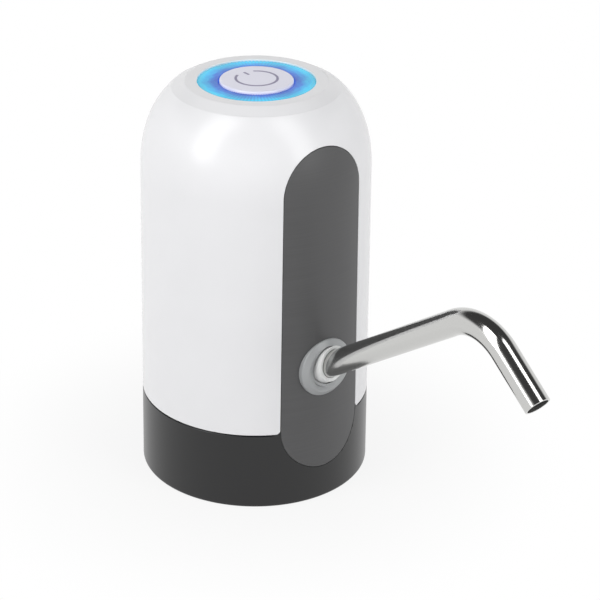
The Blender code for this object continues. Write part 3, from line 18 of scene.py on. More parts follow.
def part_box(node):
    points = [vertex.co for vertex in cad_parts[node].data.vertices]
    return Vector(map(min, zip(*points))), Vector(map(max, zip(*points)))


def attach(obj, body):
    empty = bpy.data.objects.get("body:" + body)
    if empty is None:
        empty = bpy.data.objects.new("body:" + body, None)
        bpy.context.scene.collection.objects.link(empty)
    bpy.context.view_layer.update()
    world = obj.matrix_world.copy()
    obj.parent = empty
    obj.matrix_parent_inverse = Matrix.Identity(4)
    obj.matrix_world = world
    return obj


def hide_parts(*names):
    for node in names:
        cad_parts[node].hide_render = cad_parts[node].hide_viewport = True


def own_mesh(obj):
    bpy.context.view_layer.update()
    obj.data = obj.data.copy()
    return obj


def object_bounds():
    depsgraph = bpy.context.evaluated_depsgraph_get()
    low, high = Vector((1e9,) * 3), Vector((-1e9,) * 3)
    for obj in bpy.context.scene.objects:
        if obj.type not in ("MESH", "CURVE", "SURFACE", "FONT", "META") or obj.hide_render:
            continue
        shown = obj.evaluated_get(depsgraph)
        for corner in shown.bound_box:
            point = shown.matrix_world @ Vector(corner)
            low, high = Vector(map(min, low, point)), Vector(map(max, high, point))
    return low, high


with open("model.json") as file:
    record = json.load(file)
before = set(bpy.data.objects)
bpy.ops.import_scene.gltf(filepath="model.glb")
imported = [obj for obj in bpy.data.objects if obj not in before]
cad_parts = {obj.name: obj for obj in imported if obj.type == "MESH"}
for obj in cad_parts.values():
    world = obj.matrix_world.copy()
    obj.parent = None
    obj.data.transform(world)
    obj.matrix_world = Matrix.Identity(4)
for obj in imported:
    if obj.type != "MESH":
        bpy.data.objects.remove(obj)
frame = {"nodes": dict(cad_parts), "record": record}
cad_low, cad_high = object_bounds()
print("CAD box:", list(cad_low), list(cad_high))

# %% [markdown]
# ## Where the camera stands
# A photograph's view can be worked out from a few points whose real places are known: the foot, the
# rim, the button and the spout's mouth. The camera stands in front and to the left of the spout, a
# long way off behind a long lens, and looks down a little. The chain of turns below reads like
# setting up a tripod: turn round the object, lift, step back, then pan, tilt and roll by a hair.

# %% Camera
MM = 0.001
VIEW_BEARING = math.radians(-37.05)
VIEW_LIFT = math.radians(25.57)
VIEW_DISTANCE = 0.70275
AIM_HEIGHT = 0.065
PAN = math.radians(-1.176)
TILT = math.radians(-0.654)
ROLL = math.radians(0.327)

camera_data = bpy.data.cameras.new("camera")
camera_data.sensor_width = 36
camera_data.lens = 130.34
camera_data.clip_start = 0.01
camera_data.clip_end = 20
camera = bpy.data.objects.new("camera", camera_data)
bpy.context.scene.collection.objects.link(camera)
camera.matrix_world = (
    Matrix.Rotation(VIEW_BEARING, 4, "Z")
    @ Matrix.Translation((0, 0, AIM_HEIGHT))
    @ Matrix.Rotation(math.pi / 2 - VIEW_LIFT, 4, "X")
    @ Matrix.Translation((0, 0, VIEW_DISTANCE))
    @ Matrix.Rotation(PAN, 4, "Y")
    @ Matrix.Rotation(TILT, 4, "X")
    @ Matrix.Rotation(ROLL, 4, "Z"))
bpy.context.scene.camera = camera
print("camera at", [round(c, 3) for c in camera.matrix_world.translation])

# %% [markdown]
# ## Nodes, colours and objects
# Every finish below is a small tree of shader nodes. One helper adds a node with its properties, its
# plain input values and its links, so that each finish reads as a short list. Colours are written as
# the sRGB hex values that a screen shows, and one function turns them into the linear values that
# the renderer works in. The last helper turns a bmesh into an object.

# %% Node, colour and object helpers
def linear(code):
    """Linear red, green, blue and alpha of an sRGB hex colour such as #f2f2f4."""
    shares = [int(code[i:i + 2], 16) / 255 for i in (1, 3, 5)]
    return [s / 12.92 if s <= 0.04045 else ((s + 0.055) / 1.055) ** 2.4 for s in shares] + [1.0]


def add_node(tree, kind, values=None, links=None, **settings):
    """A new node: its properties, its inputs' plain values, and the links to its inputs, each from a
    socket or from the first output of a node."""
    node = tree.nodes.new(kind)
    for name, value in settings.items():
        setattr(node, name, value)
    for socket, value in (values or {}).items():
        node.inputs[socket].default_value = value
    for socket, source in (links or {}).items():
        tree.links.new(getattr(source, "outputs", [source])[0], node.inputs[socket])
    return node


def fresh_tree(owner):
    """The emptied node tree of a material or a world."""
    owner.use_nodes = True
    owner.node_tree.nodes.clear()
    return owner.node_tree


def new_finish(name, colour, roughness, **values):
    """A material with a Principled shader. Returns the material, its tree and the shader."""
    finish = bpy.data.materials.new(name)
    tree = fresh_tree(finish)
    shader = add_node(tree, "ShaderNodeBsdfPrincipled",
                      {"Base Color": linear(colour), "Roughness": roughness})
    for socket, value in values.items():
        shader.inputs[socket.replace("_", " ")].default_value = value
    add_node(tree, "ShaderNodeOutputMaterial", links={"Surface": shader.outputs["BSDF"]})
    return finish, tree, shader


def feed(tree, shader, **nodes):
    """Links the first output of each node to the shader's input of that name."""
    for socket, node in nodes.items():
        tree.links.new(node.outputs[0], shader.inputs[socket.replace("_", " ")])


def mesh_object(name, bm):
    """A new object in the scene that holds the bmesh, which is used up."""
    mesh = bpy.data.meshes.new(name)
    bm.to_mesh(mesh)
    bm.free()
    made = bpy.data.objects.new(name, mesh)
    bpy.context.scene.collection.objects.link(made)
    return made


# %% [markdown]
# ## The studio: floor, surroundings and lamps
# A small product like this is shot on a white sweep between soft boxes. The floor is a wide pale
# disc. It fades to plain white away from the object, and near the foot it keeps the soft shadow.
# Glossy and transmission rays see that same white, so that the steel mirrors the floor that the
# camera sees.

# %% Floor
FLOOR_RADIUS = 4.0
FLOOR_DROP = 0.0001
FADE_START = 0.035
FADE_END = 0.11
WHITE_AT_FOOT = 0.88

bm = bmesh.new()
bmesh.ops.create_circle(bm, cap_ends=True, radius=FLOOR_RADIUS, segments=96)
bmesh.ops.translate(bm, verts=bm.verts, vec=(0, 0, -FLOOR_DROP))
floor = mesh_object("floor", bm)

sweep = bpy.data.materials.new("matt_white_sweep")
tree = fresh_tree(sweep)
place = add_node(tree, "ShaderNodeTexCoord")
reach = add_node(tree, "ShaderNodeVectorMath", links={0: place.outputs["Object"]}, operation="LENGTH")
eyes = add_node(tree, "ShaderNodeLightPath")
fade = add_node(tree, "ShaderNodeMapRange", {1: FADE_START, 2: FADE_END, 3: WHITE_AT_FOOT, 4: 1.0},
                {0: reach.outputs["Value"]}, interpolation_type="SMOOTHSTEP")
mirrors = add_node(tree, "ShaderNodeMath", links={0: eyes.outputs["Is Glossy Ray"],
                   1: eyes.outputs["Is Transmission Ray"]}, operation="MAXIMUM")
seen = add_node(tree, "ShaderNodeMath", links={0: eyes.outputs["Is Camera Ray"], 1: mirrors},
                operation="MAXIMUM")
share = add_node(tree, "ShaderNodeMath", links={0: seen, 1: fade}, operation="MULTIPLY")
paper = add_node(tree, "ShaderNodeBsdfDiffuse", {"Color": linear("#dadada")})
plain = add_node(tree, "ShaderNodeEmission", {"Strength": 1.0})
mixed = add_node(tree, "ShaderNodeMixShader", links={0: share, 1: paper, 2: plain})
add_node(tree, "ShaderNodeOutputMaterial", links={"Surface": mixed})
floor.data.materials.append(sweep)
print("floor radius", FLOOR_RADIUS, "m")

# %% [markdown]
# ## The surroundings
# A sweep curves up round the set and is plain white from the floor to above eye level. Above it
# the studio's ceiling is dim. Every ray sees the same room: the camera its white backdrop, the diffuse
# side of each finish its soft light, and the steel both the backdrop and the dim ceiling. The room is
# the same at every bearing, so no side of the pump is favoured.

# %% Surroundings
SWEEP_TOP = math.radians(20)
CEILING_START = math.radians(36)
CEILING_LEVEL = 0.06

world = bpy.data.worlds.new("studio")
bpy.context.scene.world = world
tree = fresh_tree(world)
place = add_node(tree, "ShaderNodeTexCoord")
parts = add_node(tree, "ShaderNodeSeparateXYZ", links={0: place.outputs["Generated"]})
room = add_node(tree, "ShaderNodeMapRange", {1: math.sin(SWEEP_TOP), 2: math.sin(CEILING_START), 3: 1.0,
                4: CEILING_LEVEL}, {0: parts.outputs[2]}, interpolation_type="SMOOTHSTEP")
light = add_node(tree, "ShaderNodeBackground", {"Color": linear("#ffffff")}, {"Strength": room})
add_node(tree, "ShaderNodeOutputWorld", links={"Surface": light})
bpy.context.scene.view_settings.view_transform = "Standard"
print("white up to", round(math.degrees(SWEEP_TOP)), "degrees, then a ceiling at", CEILING_LEVEL)

# %% [markdown]
# ## Soft boxes
# Two tall soft boxes stand beside the set: a key on the left and a weaker fill on the right. They
# light the body, and each finish mirrors them as far as its own gloss goes: upright streaks on the
# shoulder, and long bright lines in the steel.

# %% Soft boxes
# name, bearing and lift in degrees, distance, width, height, and how bright its face is. Bearing 0 is
# towards the camera, and left is negative.
SOFT_BOXES = (
    ("key_box", -56, 41, 0.80, 0.34, 0.90, 3.6),
    ("fill_box", 50, 41, 0.80, 0.30, 0.90, 2.9),
)

for name, bearing, lift, distance, width, height, brightness in SOFT_BOXES:
    data = bpy.data.lights.new(name, "AREA")
    data.shape = "RECTANGLE"
    data.size = width
    data.size_y = height
    data.energy = brightness * math.pi * width * height
    outward = (Matrix.Rotation(VIEW_BEARING + math.radians(bearing), 3, "Z")
               @ Matrix.Rotation(-math.radians(lift), 3, "X") @ Vector((0, -1, 0)))
    box = bpy.data.objects.new(name, data)
    box.location = Vector((0, 0, AIM_HEIGHT)) + outward * distance
    box.rotation_euler = outward.to_track_quat("Z", "Y").to_euler()
    bpy.context.scene.collection.objects.link(box)
    print(name, "energy", round(data.energy, 3), "W")

# %% [markdown]
# ## Moulded plastic
# The housing, foot, cap and collar are injection-moulded ABS. A steel mould gives each surface its
# skin: a polished mould leaves it glossy, and a spark-eroded or blasted one leaves a fine grain. The
# eye reads that grain as a soft blur in every reflection. It is far finer than a pixel here, so the
# grain below is drawn a few times coarser than the real one, which is about 0.05 mm.

# %% Moulded ABS finishes
SHEEN_SPREAD = 0.012
TONE_PATCH = 18.0


def moulded(name, colour, roughness, grain, relief, mottle=0.02, **values):
    """ABS out of a mould: a grain of that size in mm, a relief in mm, and a slight change of tone."""
    finish, tree, shader = new_finish(name, colour, roughness, IOR=1.54, **values)
    place = add_node(tree, "ShaderNodeTexCoord")
    pits = add_node(tree, "ShaderNodeTexNoise", {"Scale": 1 / (grain * MM), "Detail": 3.0},
                    {"Vector": place.outputs["Object"]})
    flow = add_node(tree, "ShaderNodeTexNoise", {"Scale": 1 / (TONE_PATCH * MM), "Detail": 2.0},
                    {"Vector": place.outputs["Object"]})
    sheen = add_node(tree, "ShaderNodeMapRange",
                     {3: roughness - SHEEN_SPREAD, 4: roughness + SHEEN_SPREAD}, {0: flow})
    tone = add_node(tree, "ShaderNodeMapRange", {3: 1 - mottle, 4: 1 + mottle}, {0: flow})
    tint = add_node(tree, "ShaderNodeVectorMath", {0: linear(colour)[:3]}, {"Scale": tone},
                    operation="SCALE")
    bump = add_node(tree, "ShaderNodeBump", {"Distance": relief * MM}, {"Height": pits})
    feed(tree, shader, Base_Color=tint, Roughness=sheen, Normal=bump)
    return finish


white_abs = moulded("glossy_white_moulded_abs", "#efeff1", 0.26, 0.35, 0.0008)
black_abs = moulded("satin_black_moulded_abs", "#08080a", 0.28, 0.30, 0.0012)
grey_abs = moulded("silver_grey_painted_abs", "#a4a6a7", 0.40, 0.25, 0.0012, Metallic=0.15)
pearl_abs = moulded("pearl_lilac_moulded_abs", "#ecebf9", 0.24, 0.35, 0.0006)
acetal = moulded("natural_moulded_acetal", "#dad8d0", 0.42, 0.30, 0.0015)
black_plastic = moulded("black_glass_filled_nylon", "#19191b", 0.50, 0.25, 0.0030)
print("moulded finishes:", white_abs.name, black_abs.name, grey_abs.name)

# %% [markdown]
# ## The strip's hairline finish
# The dark strip is a thin moulding with a hairline finish: shallow straight scratches that run
# across it. Real hairlines are about 0.05 mm apart. They are drawn here about 0.5 mm apart so that
# the camera can show them. A noise that is stretched along X makes them, because a noise keeps each
# line a little different in depth and length, as sanding does. The strip is one graphite grey all the
# way down, and only the room's light changes along it.

# %% Hairline finish
HAIRLINE_PITCH = 0.5
HAIRLINE_LENGTH = 30.0
HAIRLINE_DEPTH = 0.0015
GRAPHITE = "#4e4e4f"

hairline, tree, shader = new_finish("graphite_hairline_abs", GRAPHITE, 0.46, IOR=1.54)
place = add_node(tree, "ShaderNodeTexCoord")
stretch = add_node(tree, "ShaderNodeMapping", {"Scale": (1 / (HAIRLINE_LENGTH * MM), 0.0,
                   1 / (HAIRLINE_PITCH * MM))}, {"Vector": place.outputs["Object"]})
lines = add_node(tree, "ShaderNodeTexNoise", {"Scale": 1.0, "Detail": 2.0}, {"Vector": stretch})
tone = add_node(tree, "ShaderNodeMapRange", {1: 0.3, 2: 0.7, 3: 0.95, 4: 1.05}, {0: lines})
tint = add_node(tree, "ShaderNodeVectorMath", {0: linear(GRAPHITE)[:3]}, {"Scale": tone}, operation="SCALE")
sheen = add_node(tree, "ShaderNodeMapRange", {3: 0.42, 4: 0.50}, {0: lines})
bump = add_node(tree, "ShaderNodeBump", {"Distance": HAIRLINE_DEPTH * MM}, {"Height": lines})
feed(tree, shader, Base_Color=tint, Roughness=sheen, Normal=bump)
print("hairlines", HAIRLINE_PITCH, "mm apart")

# %% [markdown]
# ## Metals
# The spout is drawn stainless tube, polished bright: it mirrors the room as clean streaks along its
# length. Only a very light wave in the polish keeps the streaks from being ruler-straight. The
# motor's can and the screws are zinc plated or rolled steel, which is duller. A metal keeps its
# shader's own IOR, and its colour is what it mirrors straight on.

# %% Metal finishes
POLISH_SPREAD = 0.03


def metal(name, colour, roughness, wave, relief):
    """A metal surface whose polish waves at that size in mm, by a relief in mm."""
    finish, tree, shader = new_finish(name, colour, roughness, Metallic=1.0)
    place = add_node(tree, "ShaderNodeTexCoord")
    polish = add_node(tree, "ShaderNodeTexNoise", {"Scale": 1 / (wave * MM), "Detail": 2.0},
                      {"Vector": place.outputs["Object"]})
    sheen = add_node(tree, "ShaderNodeMapRange",
                     {3: roughness - POLISH_SPREAD, 4: roughness + POLISH_SPREAD}, {0: polish})
    bump = add_node(tree, "ShaderNodeBump", {"Distance": relief * MM}, {"Height": polish})
    feed(tree, shader, Roughness=sheen, Normal=bump)
    return finish


spout_steel = metal("polished_drawn_stainless", "#c9c9c7", 0.12, 9.0, 0.002)
rolled_steel = metal("nickel_plated_rolled_steel", "#c9cacc", 0.24, 3.0, 0.004)
# The bore's steel is darkened in colour: painted shade inside the tube. Only its roughness is the
# unpolished steel's own.
bore_painted_shade = metal("unpolished_stainless_painted_shade", "#6f6f6d", 0.55, 0.8, 0.004)
zinc_plate = metal("bright_zinc_plate", "#c3c8cd", 0.33, 0.8, 0.003)
copper_wire = metal("enamelled_copper_winding", "#c67a4a", 0.32, 0.6, 0.02)
sintered_bronze = metal("sintered_bronze", "#a8824e", 0.45, 0.3, 0.01)
print("metal finishes:", spout_steel.name, rolled_steel.name, zinc_plate.name)

# %% [markdown]
# ## Rubber, silicone and the small finishes inside
# Silicone lets a little light in, so its edges never go quite dark, and its skin is matt. Rubber is
# darker and duller. The rest are seen only when the pump is open: a green solder mask over copper
# tracks, the printed sleeve of the battery cell, PVC round the leads, ferrite and the lamps' white
# packages.

# %% Soft and inside finishes
silicone = moulded("white_moulded_silicone", "#eeefee", 0.42, 0.5, 0.0020, Subsurface_Weight=0.25,
                   Subsurface_Radius=(0.002, 0.002, 0.002), Subsurface_Scale=1.0)
rubber = moulded("black_nitrile_rubber", "#131313", 0.70, 0.4, 0.0060)
red_pvc = moulded("red_pvc_insulation", "#b3161a", 0.42, 0.5, 0.0020)
black_pvc = moulded("black_pvc_insulation", "#151516", 0.42, 0.5, 0.0020)
cell_sleeve = moulded("blue_shrunk_cell_sleeve", "#1f4fa8", 0.30, 6.0, 0.0150, mottle=0.05)
ferrite = moulded("pressed_ferrite", "#2b2b2d", 0.62, 0.2, 0.0080)
lamp_white = moulded("white_lamp_package", "#f4f3e6", 0.35, 0.4, 0.0020)

TRACK_PITCH = 1.6
TRACK_HEIGHT = 0.03
solder_mask, tree, shader = new_finish("green_solder_mask", "#0f5a2c", 0.30, IOR=1.52)
place = add_node(tree, "ShaderNodeTexCoord")
tracks = add_node(tree, "ShaderNodeTexVoronoi", {"Scale": 1 / (TRACK_PITCH * MM)},
                  {"Vector": place.outputs["Object"]}, distance="CHEBYCHEV", feature="DISTANCE_TO_EDGE")
edge = add_node(tree, "ShaderNodeMapRange", {1: 0.08, 2: 0.14}, {0: tracks.outputs["Distance"]})
mask = add_node(tree, "ShaderNodeMix", {6: linear("#0c4a25"), 7: linear("#1c7a3e")}, {0: edge},
                data_type="RGBA")
bump = add_node(tree, "ShaderNodeBump", {"Distance": TRACK_HEIGHT * MM}, {"Height": edge})
tree.links.new(mask.outputs[2], shader.inputs["Base Color"])
feed(tree, shader, Normal=bump)
print("soft and inside finishes:", silicone.name, rubber.name, solder_mask.name)

# %% [markdown]
# ## From a bmesh to a finished piece
# Each piece ends the same way: its doubles are merged, its faces turned outwards, and its sharp
# edges marked. A weighted-normal modifier keeps flat faces flat beside small rounded edges. Then the
# piece is tied to the CAD body it moves with, and the CAD nodes that it stands for are hidden.

# %% Finishing helper
SHARP = math.radians(38)
MERGE = 0.002 * MM


def sealed(bm):
    """The same bmesh, with its doubles merged and its faces turned outwards."""
    bmesh.ops.remove_doubles(bm, verts=bm.verts, dist=MERGE)
    bmesh.ops.recalc_face_normals(bm, faces=bm.faces)
    return bm


def finish_piece(name, bm, material, slot, *nodes, body="pump_body"):
    """The bmesh as an object in place, with its finish, tied to the frame."""
    piece = mesh_object(name, sealed(bm))
    mesh = piece.data
    mesh.materials.append(material)
    for polygon in mesh.polygons:
        polygon.use_smooth = True
    mesh.set_sharp_from_angle(angle=SHARP)
    weighted = piece.modifiers.new("weighted_normals", "WEIGHTED_NORMAL")
    weighted.keep_sharp = True
    weighted.weight = 80
    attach(piece, body)
    if nodes:
        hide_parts(*nodes)
    print(f"{name}: {len(mesh.polygons)} faces")
    return piece


# %% [markdown]
# ## Turned shapes
# Most of this pump is round, so most pieces start on a lathe: half of the outline is drawn as a wire
# in the X-Z plane, its corners are rounded, and a full spin makes the solid. Rounding the corners of
# the wire first is easier than bevelling the solid later, because a wire has nothing to collide
# with. A corner of the outline is given as radius, height and how far its rounding reaches, in mm.

# %% Lathe helper
ROUND_STEPS = 4
BODY_STEPS = 160


def rounded(bm, geom, reach, steps, affect="EDGES"):
    """Rounds edges, or the corners of a wire, by a reach in mm."""
    bmesh.ops.bevel(bm, geom=geom, offset=reach * MM, offset_type="OFFSET", segments=steps, profile=0.5,
                    affect=affect, material=-1)


def lathe(outline, steps=BODY_STEPS):
    """A bmesh turned round Z from (radius, height, rounding) corners in mm.
    The outline closes on itself, or runs from the axis to the axis."""
    bm = bmesh.new()
    verts = [bm.verts.new((point[0] * MM, 0, point[1] * MM)) for point in outline]
    for first, second in zip(verts, verts[1:]):
        bm.edges.new((first, second))
    if outline[0][0] > 0 or outline[-1][0] > 0:
        bm.edges.new((verts[-1], verts[0]))
    for vertex, point in zip(verts, outline):
        if len(point) > 2:
            rounded(bm, [vertex], point[2], ROUND_STEPS, "VERTICES")
    bmesh.ops.spin(bm, geom=bm.verts[:] + bm.edges[:], cent=(0, 0, 0), axis=(0, 0, 1), angle=math.tau,
                   steps=steps, use_merge=True)
    return sealed(bm)


def rod(radius, low, high, steps):
    """A plain rod on the Z axis, from one height in mm to another."""
    return lathe([(0, low), (radius, low), (radius, high), (0, high)], steps)


# %% [markdown]
# ## Blocks, places and cuts
# Pockets, holes and slots are cut with an exact Boolean. The tool is a scratch object that is
# removed as soon as the cut is made. Working on objects only for the cut keeps every other step in
# bmesh. The tools themselves are rods or blocks, moved to their places by a matrix.

# %% Block and Boolean helpers
def carve(bm, tool, operation="DIFFERENCE"):
    """The bmesh after an exact Boolean with another bmesh. Both are used up."""
    body, cutter = mesh_object("carve_body", bm), mesh_object("carve_tool", tool)
    step = body.modifiers.new("carve", "BOOLEAN")
    step.operation = operation
    step.solver = "EXACT"
    step.object = cutter
    carved = bmesh.new()
    carved.from_object(body, bpy.context.evaluated_depsgraph_get())
    for held in (body, cutter):
        mesh = held.data
        bpy.data.objects.remove(held)
        bpy.data.meshes.remove(mesh)
    bmesh.ops.remove_doubles(carved, verts=carved.verts, dist=MERGE)
    return carved


def moved(bm, matrix):
    """The same bmesh, moved by a matrix."""
    bmesh.ops.transform(bm, matrix=matrix, verts=bm.verts)
    return bm


def block(size, middle):
    """A box of that size in mm round its middle."""
    bm = bmesh.new()
    bmesh.ops.create_cube(bm, size=1.0)
    bmesh.ops.scale(bm, verts=bm.verts, vec=[length * MM for length in size])
    bmesh.ops.translate(bm, verts=bm.verts, vec=[value * MM for value in middle])
    return bm


def along_y(bm):
    """The edges of a block that run along Y."""
    return [e for e in bm.edges if abs(e.verts[0].co.y - e.verts[1].co.y) > MERGE]


def thirds(radius, first):
    """Three places a third of a turn apart, on a radius in mm, from a first bearing in degrees."""
    bearings = [math.radians(first + 120 * index) for index in range(3)]
    return [Matrix.Translation((radius * MM * math.cos(bearing), radius * MM * math.sin(bearing), 0))
            for bearing in bearings]


# %% [markdown]
# ## The body's outline
# The housing and the foot share one side: a hair narrower at the shoulder than at the foot, then a
# full, round shoulder up to the rim. A circle's arc would be too plain for it. The photograph's
# shoulder stays full for longer and then turns in faster, which is a superellipse with a power a
# little above 2. The foot's radius is read from the frame, so nothing stands outside the CAD box.

# %% Body outline
FOOT_RADIUS = cad_high.x / MM
SHOULDER_RADIUS = FOOT_RADIUS - 0.8
SHOULDER_START = 104.0
RIM_RADIUS = 26.25
RIM_HEIGHT = 130.0
SHOULDER_POWER = 2.16
SHOULDER_SHARE = 0.852
SEAM = 26.3
GAP = 0.3


def body_radius(height):
    """Radius in mm of the body's side at a height in mm."""
    if height <= SHOULDER_START:
        return FOOT_RADIUS + (SHOULDER_RADIUS - FOOT_RADIUS) * height / SHOULDER_START
    full_drop = 1 - (1 - SHOULDER_SHARE ** SHOULDER_POWER) ** (1 / SHOULDER_POWER)
    turn = SHOULDER_SHARE * (height - SHOULDER_START) / (RIM_HEIGHT - SHOULDER_START)
    inward = 1 - (1 - turn ** SHOULDER_POWER) ** (1 / SHOULDER_POWER)
    return SHOULDER_RADIUS - (SHOULDER_RADIUS - RIM_RADIUS) * inward / full_drop


def side_line(low, high, rows):
    """Corners (radius, height) on the body's side, spaced evenly in height."""
    heights = [low + (high - low) * row / rows for row in range(rows + 1)]
    return [(body_radius(height), height) for height in heights]


print("foot radius", round(FOOT_RADIUS, 3), "mm, shoulder radius", round(SHOULDER_RADIUS, 3), "mm")

# %% [markdown]
# ## The strip's outline, wrapped on the body
# The strip is a tall shape with round ends that lies in the body's curved side. Its skin, its
# rounded edge and its back are rings round one middle line. So a flat grid is enough to start with:
# one side of the grid runs once round the outline, the other runs from the middle of the front, out
# over the edge, to the middle of the back. Moving the grid's points wraps it on the body. The same
# wrap with other steps gives the tool that cuts the pocket, with a rounded lip.

# %% Wrapped strip helper
STRIP_FOOT = (15.1, 26.7)
STRIP_TOP = (14.5, 105.9)
STRIP_THICKNESS = 1.2
CAP_TURNS = 32
SIDE_TURNS = 40
OUTLINE_TURNS = 2 * (CAP_TURNS + SIDE_TURNS)
POCKET_FRONT = -1.6 * FOOT_RADIUS
LIP_SHARE = 0.85


def outline_point(turn, share, growth):
    """Point (x, z) in mm on the strip's outline, scaled in to its middle line by share, then grown."""
    turn = turn % OUTLINE_TURNS
    mirrored = turn >= OUTLINE_TURNS / 2
    step = OUTLINE_TURNS - turn if mirrored else turn
    side = -1 if mirrored else 1
    if step < CAP_TURNS / 2:
        angle = -math.pi / 2 + math.pi * step / CAP_TURNS
        half, height = STRIP_FOOT
    else:
        along_side = min((step - CAP_TURNS / 2) / SIDE_TURNS, 1)
        angle = max(0, step - SIDE_TURNS - CAP_TURNS / 2) * math.pi / CAP_TURNS
        half = STRIP_FOOT[0] + (STRIP_TOP[0] - STRIP_FOOT[0]) * along_side
        height = STRIP_FOOT[1] + (STRIP_TOP[1] - STRIP_FOOT[1]) * along_side
    reach = half * share + growth
    return side * reach * math.cos(angle), height + reach * math.sin(angle)


def wrapped_strip(section):
    """A closed bmesh round the strip's outline. A section step is (share, growth, depth) in mm, and a
    depth of None lies on a flat plane in front of the body."""
    bm = bmesh.new()
    bmesh.ops.create_grid(bm, x_segments=OUTLINE_TURNS, y_segments=len(section) - 1, size=1.0)
    for vertex in bm.verts:
        turn = round((vertex.co.x + 1) / 2 * OUTLINE_TURNS)
        share, growth, depth = section[round((vertex.co.y + 1) / 2 * (len(section) - 1))]
        x, z = outline_point(turn, share, growth)
        y = POCKET_FRONT if depth is None else -math.sqrt((body_radius(z) - depth) ** 2 - x ** 2)
        vertex.co = (x * MM, y * MM, z * MM)
    return sealed(bm)


RINGS = 8
INWARD_RINGS = [1 - ring / RINGS for ring in range(RINGS + 1)]


def strip_pocket(lip, gap):
    """The tool that cuts the strip's pocket, with a rounded lip of that radius and a gap, both in mm.
    The lip's rounding stops short of a right angle, so that it leaves no sliver."""
    floor = [(share, gap * share, STRIP_THICKNESS + gap) for share in INWARD_RINGS[::-1]]
    edge = []
    for step in range(ROUND_STEPS + 1):
        angle = math.pi / 2 * step / ROUND_STEPS * LIP_SHARE
        edge.append((1, gap + lip * (1 - math.cos(angle)), lip * (1 - math.sin(angle))))
    wide = gap + lip * 2
    return wrapped_strip(floor + edge + [(1, wide, -lip), (1, wide, None), (0, 0, None)])


# %% [markdown]
# ## The spout's own frame
# The spout leaves the strip at a slant. The collar's stub, the silicone sleeve and the tube all
# share that slanted axis, so each is turned round Z first and then moved by one matrix: out of the
# body's front at the spout's height, tilted up.

# %% Spout frame
SPOUT_HEIGHT = 47.4
SPOUT_TILT = math.radians(33.9)
SPOUT_ROOT = Vector((0, -body_radius(SPOUT_HEIGHT) * MM, SPOUT_HEIGHT * MM))
SPOUT_FRAME = Matrix.Translation(SPOUT_ROOT) @ Matrix.Rotation(math.pi / 2 - SPOUT_TILT, 4, "X")
STUB_RADIUS = 6.36
STUB_BORE = 5.46
STUB_DEPTH = 12.0


def slanted_rod(radius, low, high):
    """A plain tool along the spout's axis, from one distance in mm to another."""
    return moved(rod(radius, low, high, 96), SPOUT_FRAME)


print("spout's root at", [round(c, 4) for c in SPOUT_ROOT])

# %% [markdown]
# ## Rounded corners beside the strip
# Where the white housing meets the strip and the foot, its two lower corners are rounded, and the
# black foot reaches up to fill them. One shape does both jobs: a block with a rod taken out of it,
# kept only in the outer skin of the body. It is carved from the housing, and a slightly smaller one
# is joined to the foot.

# %% Corner helper
HOUSING_LIP = 0.20
HOUSING_GAP = 0.15
FOOT_LIP = 0.06
FOOT_GAP = 0.10
CORNER_RADIUS = 1.7
CORNER_FLOOR = 35.8
CORNER_GAP = 0.12
CORNER_WIDTH = CORNER_RADIUS + 0.5


def corner(side, gap, low):
    """The corner beside the strip on that side, smaller by a gap, from a height up, in mm."""
    middle = STRIP_FOOT[0] + HOUSING_GAP + CORNER_RADIUS
    top = SEAM + CORNER_RADIUS
    piece = block((CORNER_WIDTH, 30, top - low), (side * (middle - CORNER_WIDTH / 2), -30, (low + top) / 2))
    rounding = Matrix.Translation((side * middle * MM, 0, top * MM)) @ Matrix.Rotation(math.pi / 2, 4, "X")
    piece = carve(piece, moved(rod(CORNER_RADIUS + gap, 10, 50, 64), rounding))
    outside = [(FOOT_RADIUS + 2, low - 1), (FOOT_RADIUS + 2, top + 1)]
    if gap:
        outside = side_line(low - 1, top + 1, 4)
    floor = CORNER_FLOOR + gap
    return carve(piece, lathe([(floor, low - 1)] + outside + [(floor, top + 1)]), "INTERSECT")


print("corners rounded to", CORNER_RADIUS, "mm")

# %% [markdown]
# ## The black foot
# The foot is a cup turned upside down: an outer wall in line with the housing, a flat ring that
# stands on the bottle's shoulder, and inside it the socket that grips the bottle's neck. Three screw
# wells come up from below. The strip's lower end lies in the foot's front, so the same pocket tool
# cuts it as cuts the housing.

# %% Black foot
NECK_RADIUS = 28.25
NECK_OUTSIDE = 29.85
NECK_DEPTH = 22.0
INNER_WALL = 34.76
FOOT_TOP = 26.0
SCREW_CIRCLE = 32.3
FIRST_SCREW = 5
STAND = 2.0
# A post is its radius, foot and top in mm. A well is an outline.
POST = (3.0, 1.0, 21.7)
WELL = [(0, -2.0), (2.2, -2.0), (2.2, 0.0), (2.0, 0.2), (2.0, 16.0), (1.2, 16.0), (1.2, 24.0), (0, 24.0)]

foot = lathe([(NECK_RADIUS, 0, 0.5), (body_radius(0), 0, 0.8)] + side_line(1.5, FOOT_TOP - 0.6, 12)
             + [(body_radius(FOOT_TOP), FOOT_TOP, 0.25), (INNER_WALL, FOOT_TOP, 0.25), (INNER_WALL, STAND),
                (NECK_OUTSIDE, STAND), (NECK_OUTSIDE, NECK_DEPTH, 0.3), (NECK_RADIUS, NECK_DEPTH, 0.3)])
for spot in thirds(SCREW_CIRCLE, FIRST_SCREW):
    foot = carve(foot, moved(rod(*POST, 40), spot), "UNION")
    foot = carve(foot, moved(lathe(WELL, 40), spot))
for side in (-1, 1):
    foot = carve(foot, corner(side, CORNER_GAP, FOOT_TOP - 0.7), "UNION")
foot = carve(foot, strip_pocket(FOOT_LIP, FOOT_GAP))
finish_piece("foot_shell", foot, black_abs, "black_abs", "base")

# %% [markdown]
# ## The white housing
# The housing is a tall shell with a 2.5 mm wall, a tongue at the bottom that slips inside the foot,
# and an opening at the top for the cap. The wall is one closed outline on the lathe, so the inside
# gets its true shape for free. Then the strip's pocket is cut, the hole behind the collar, the two
# lower corners and the slot of the charging inlet at the back.

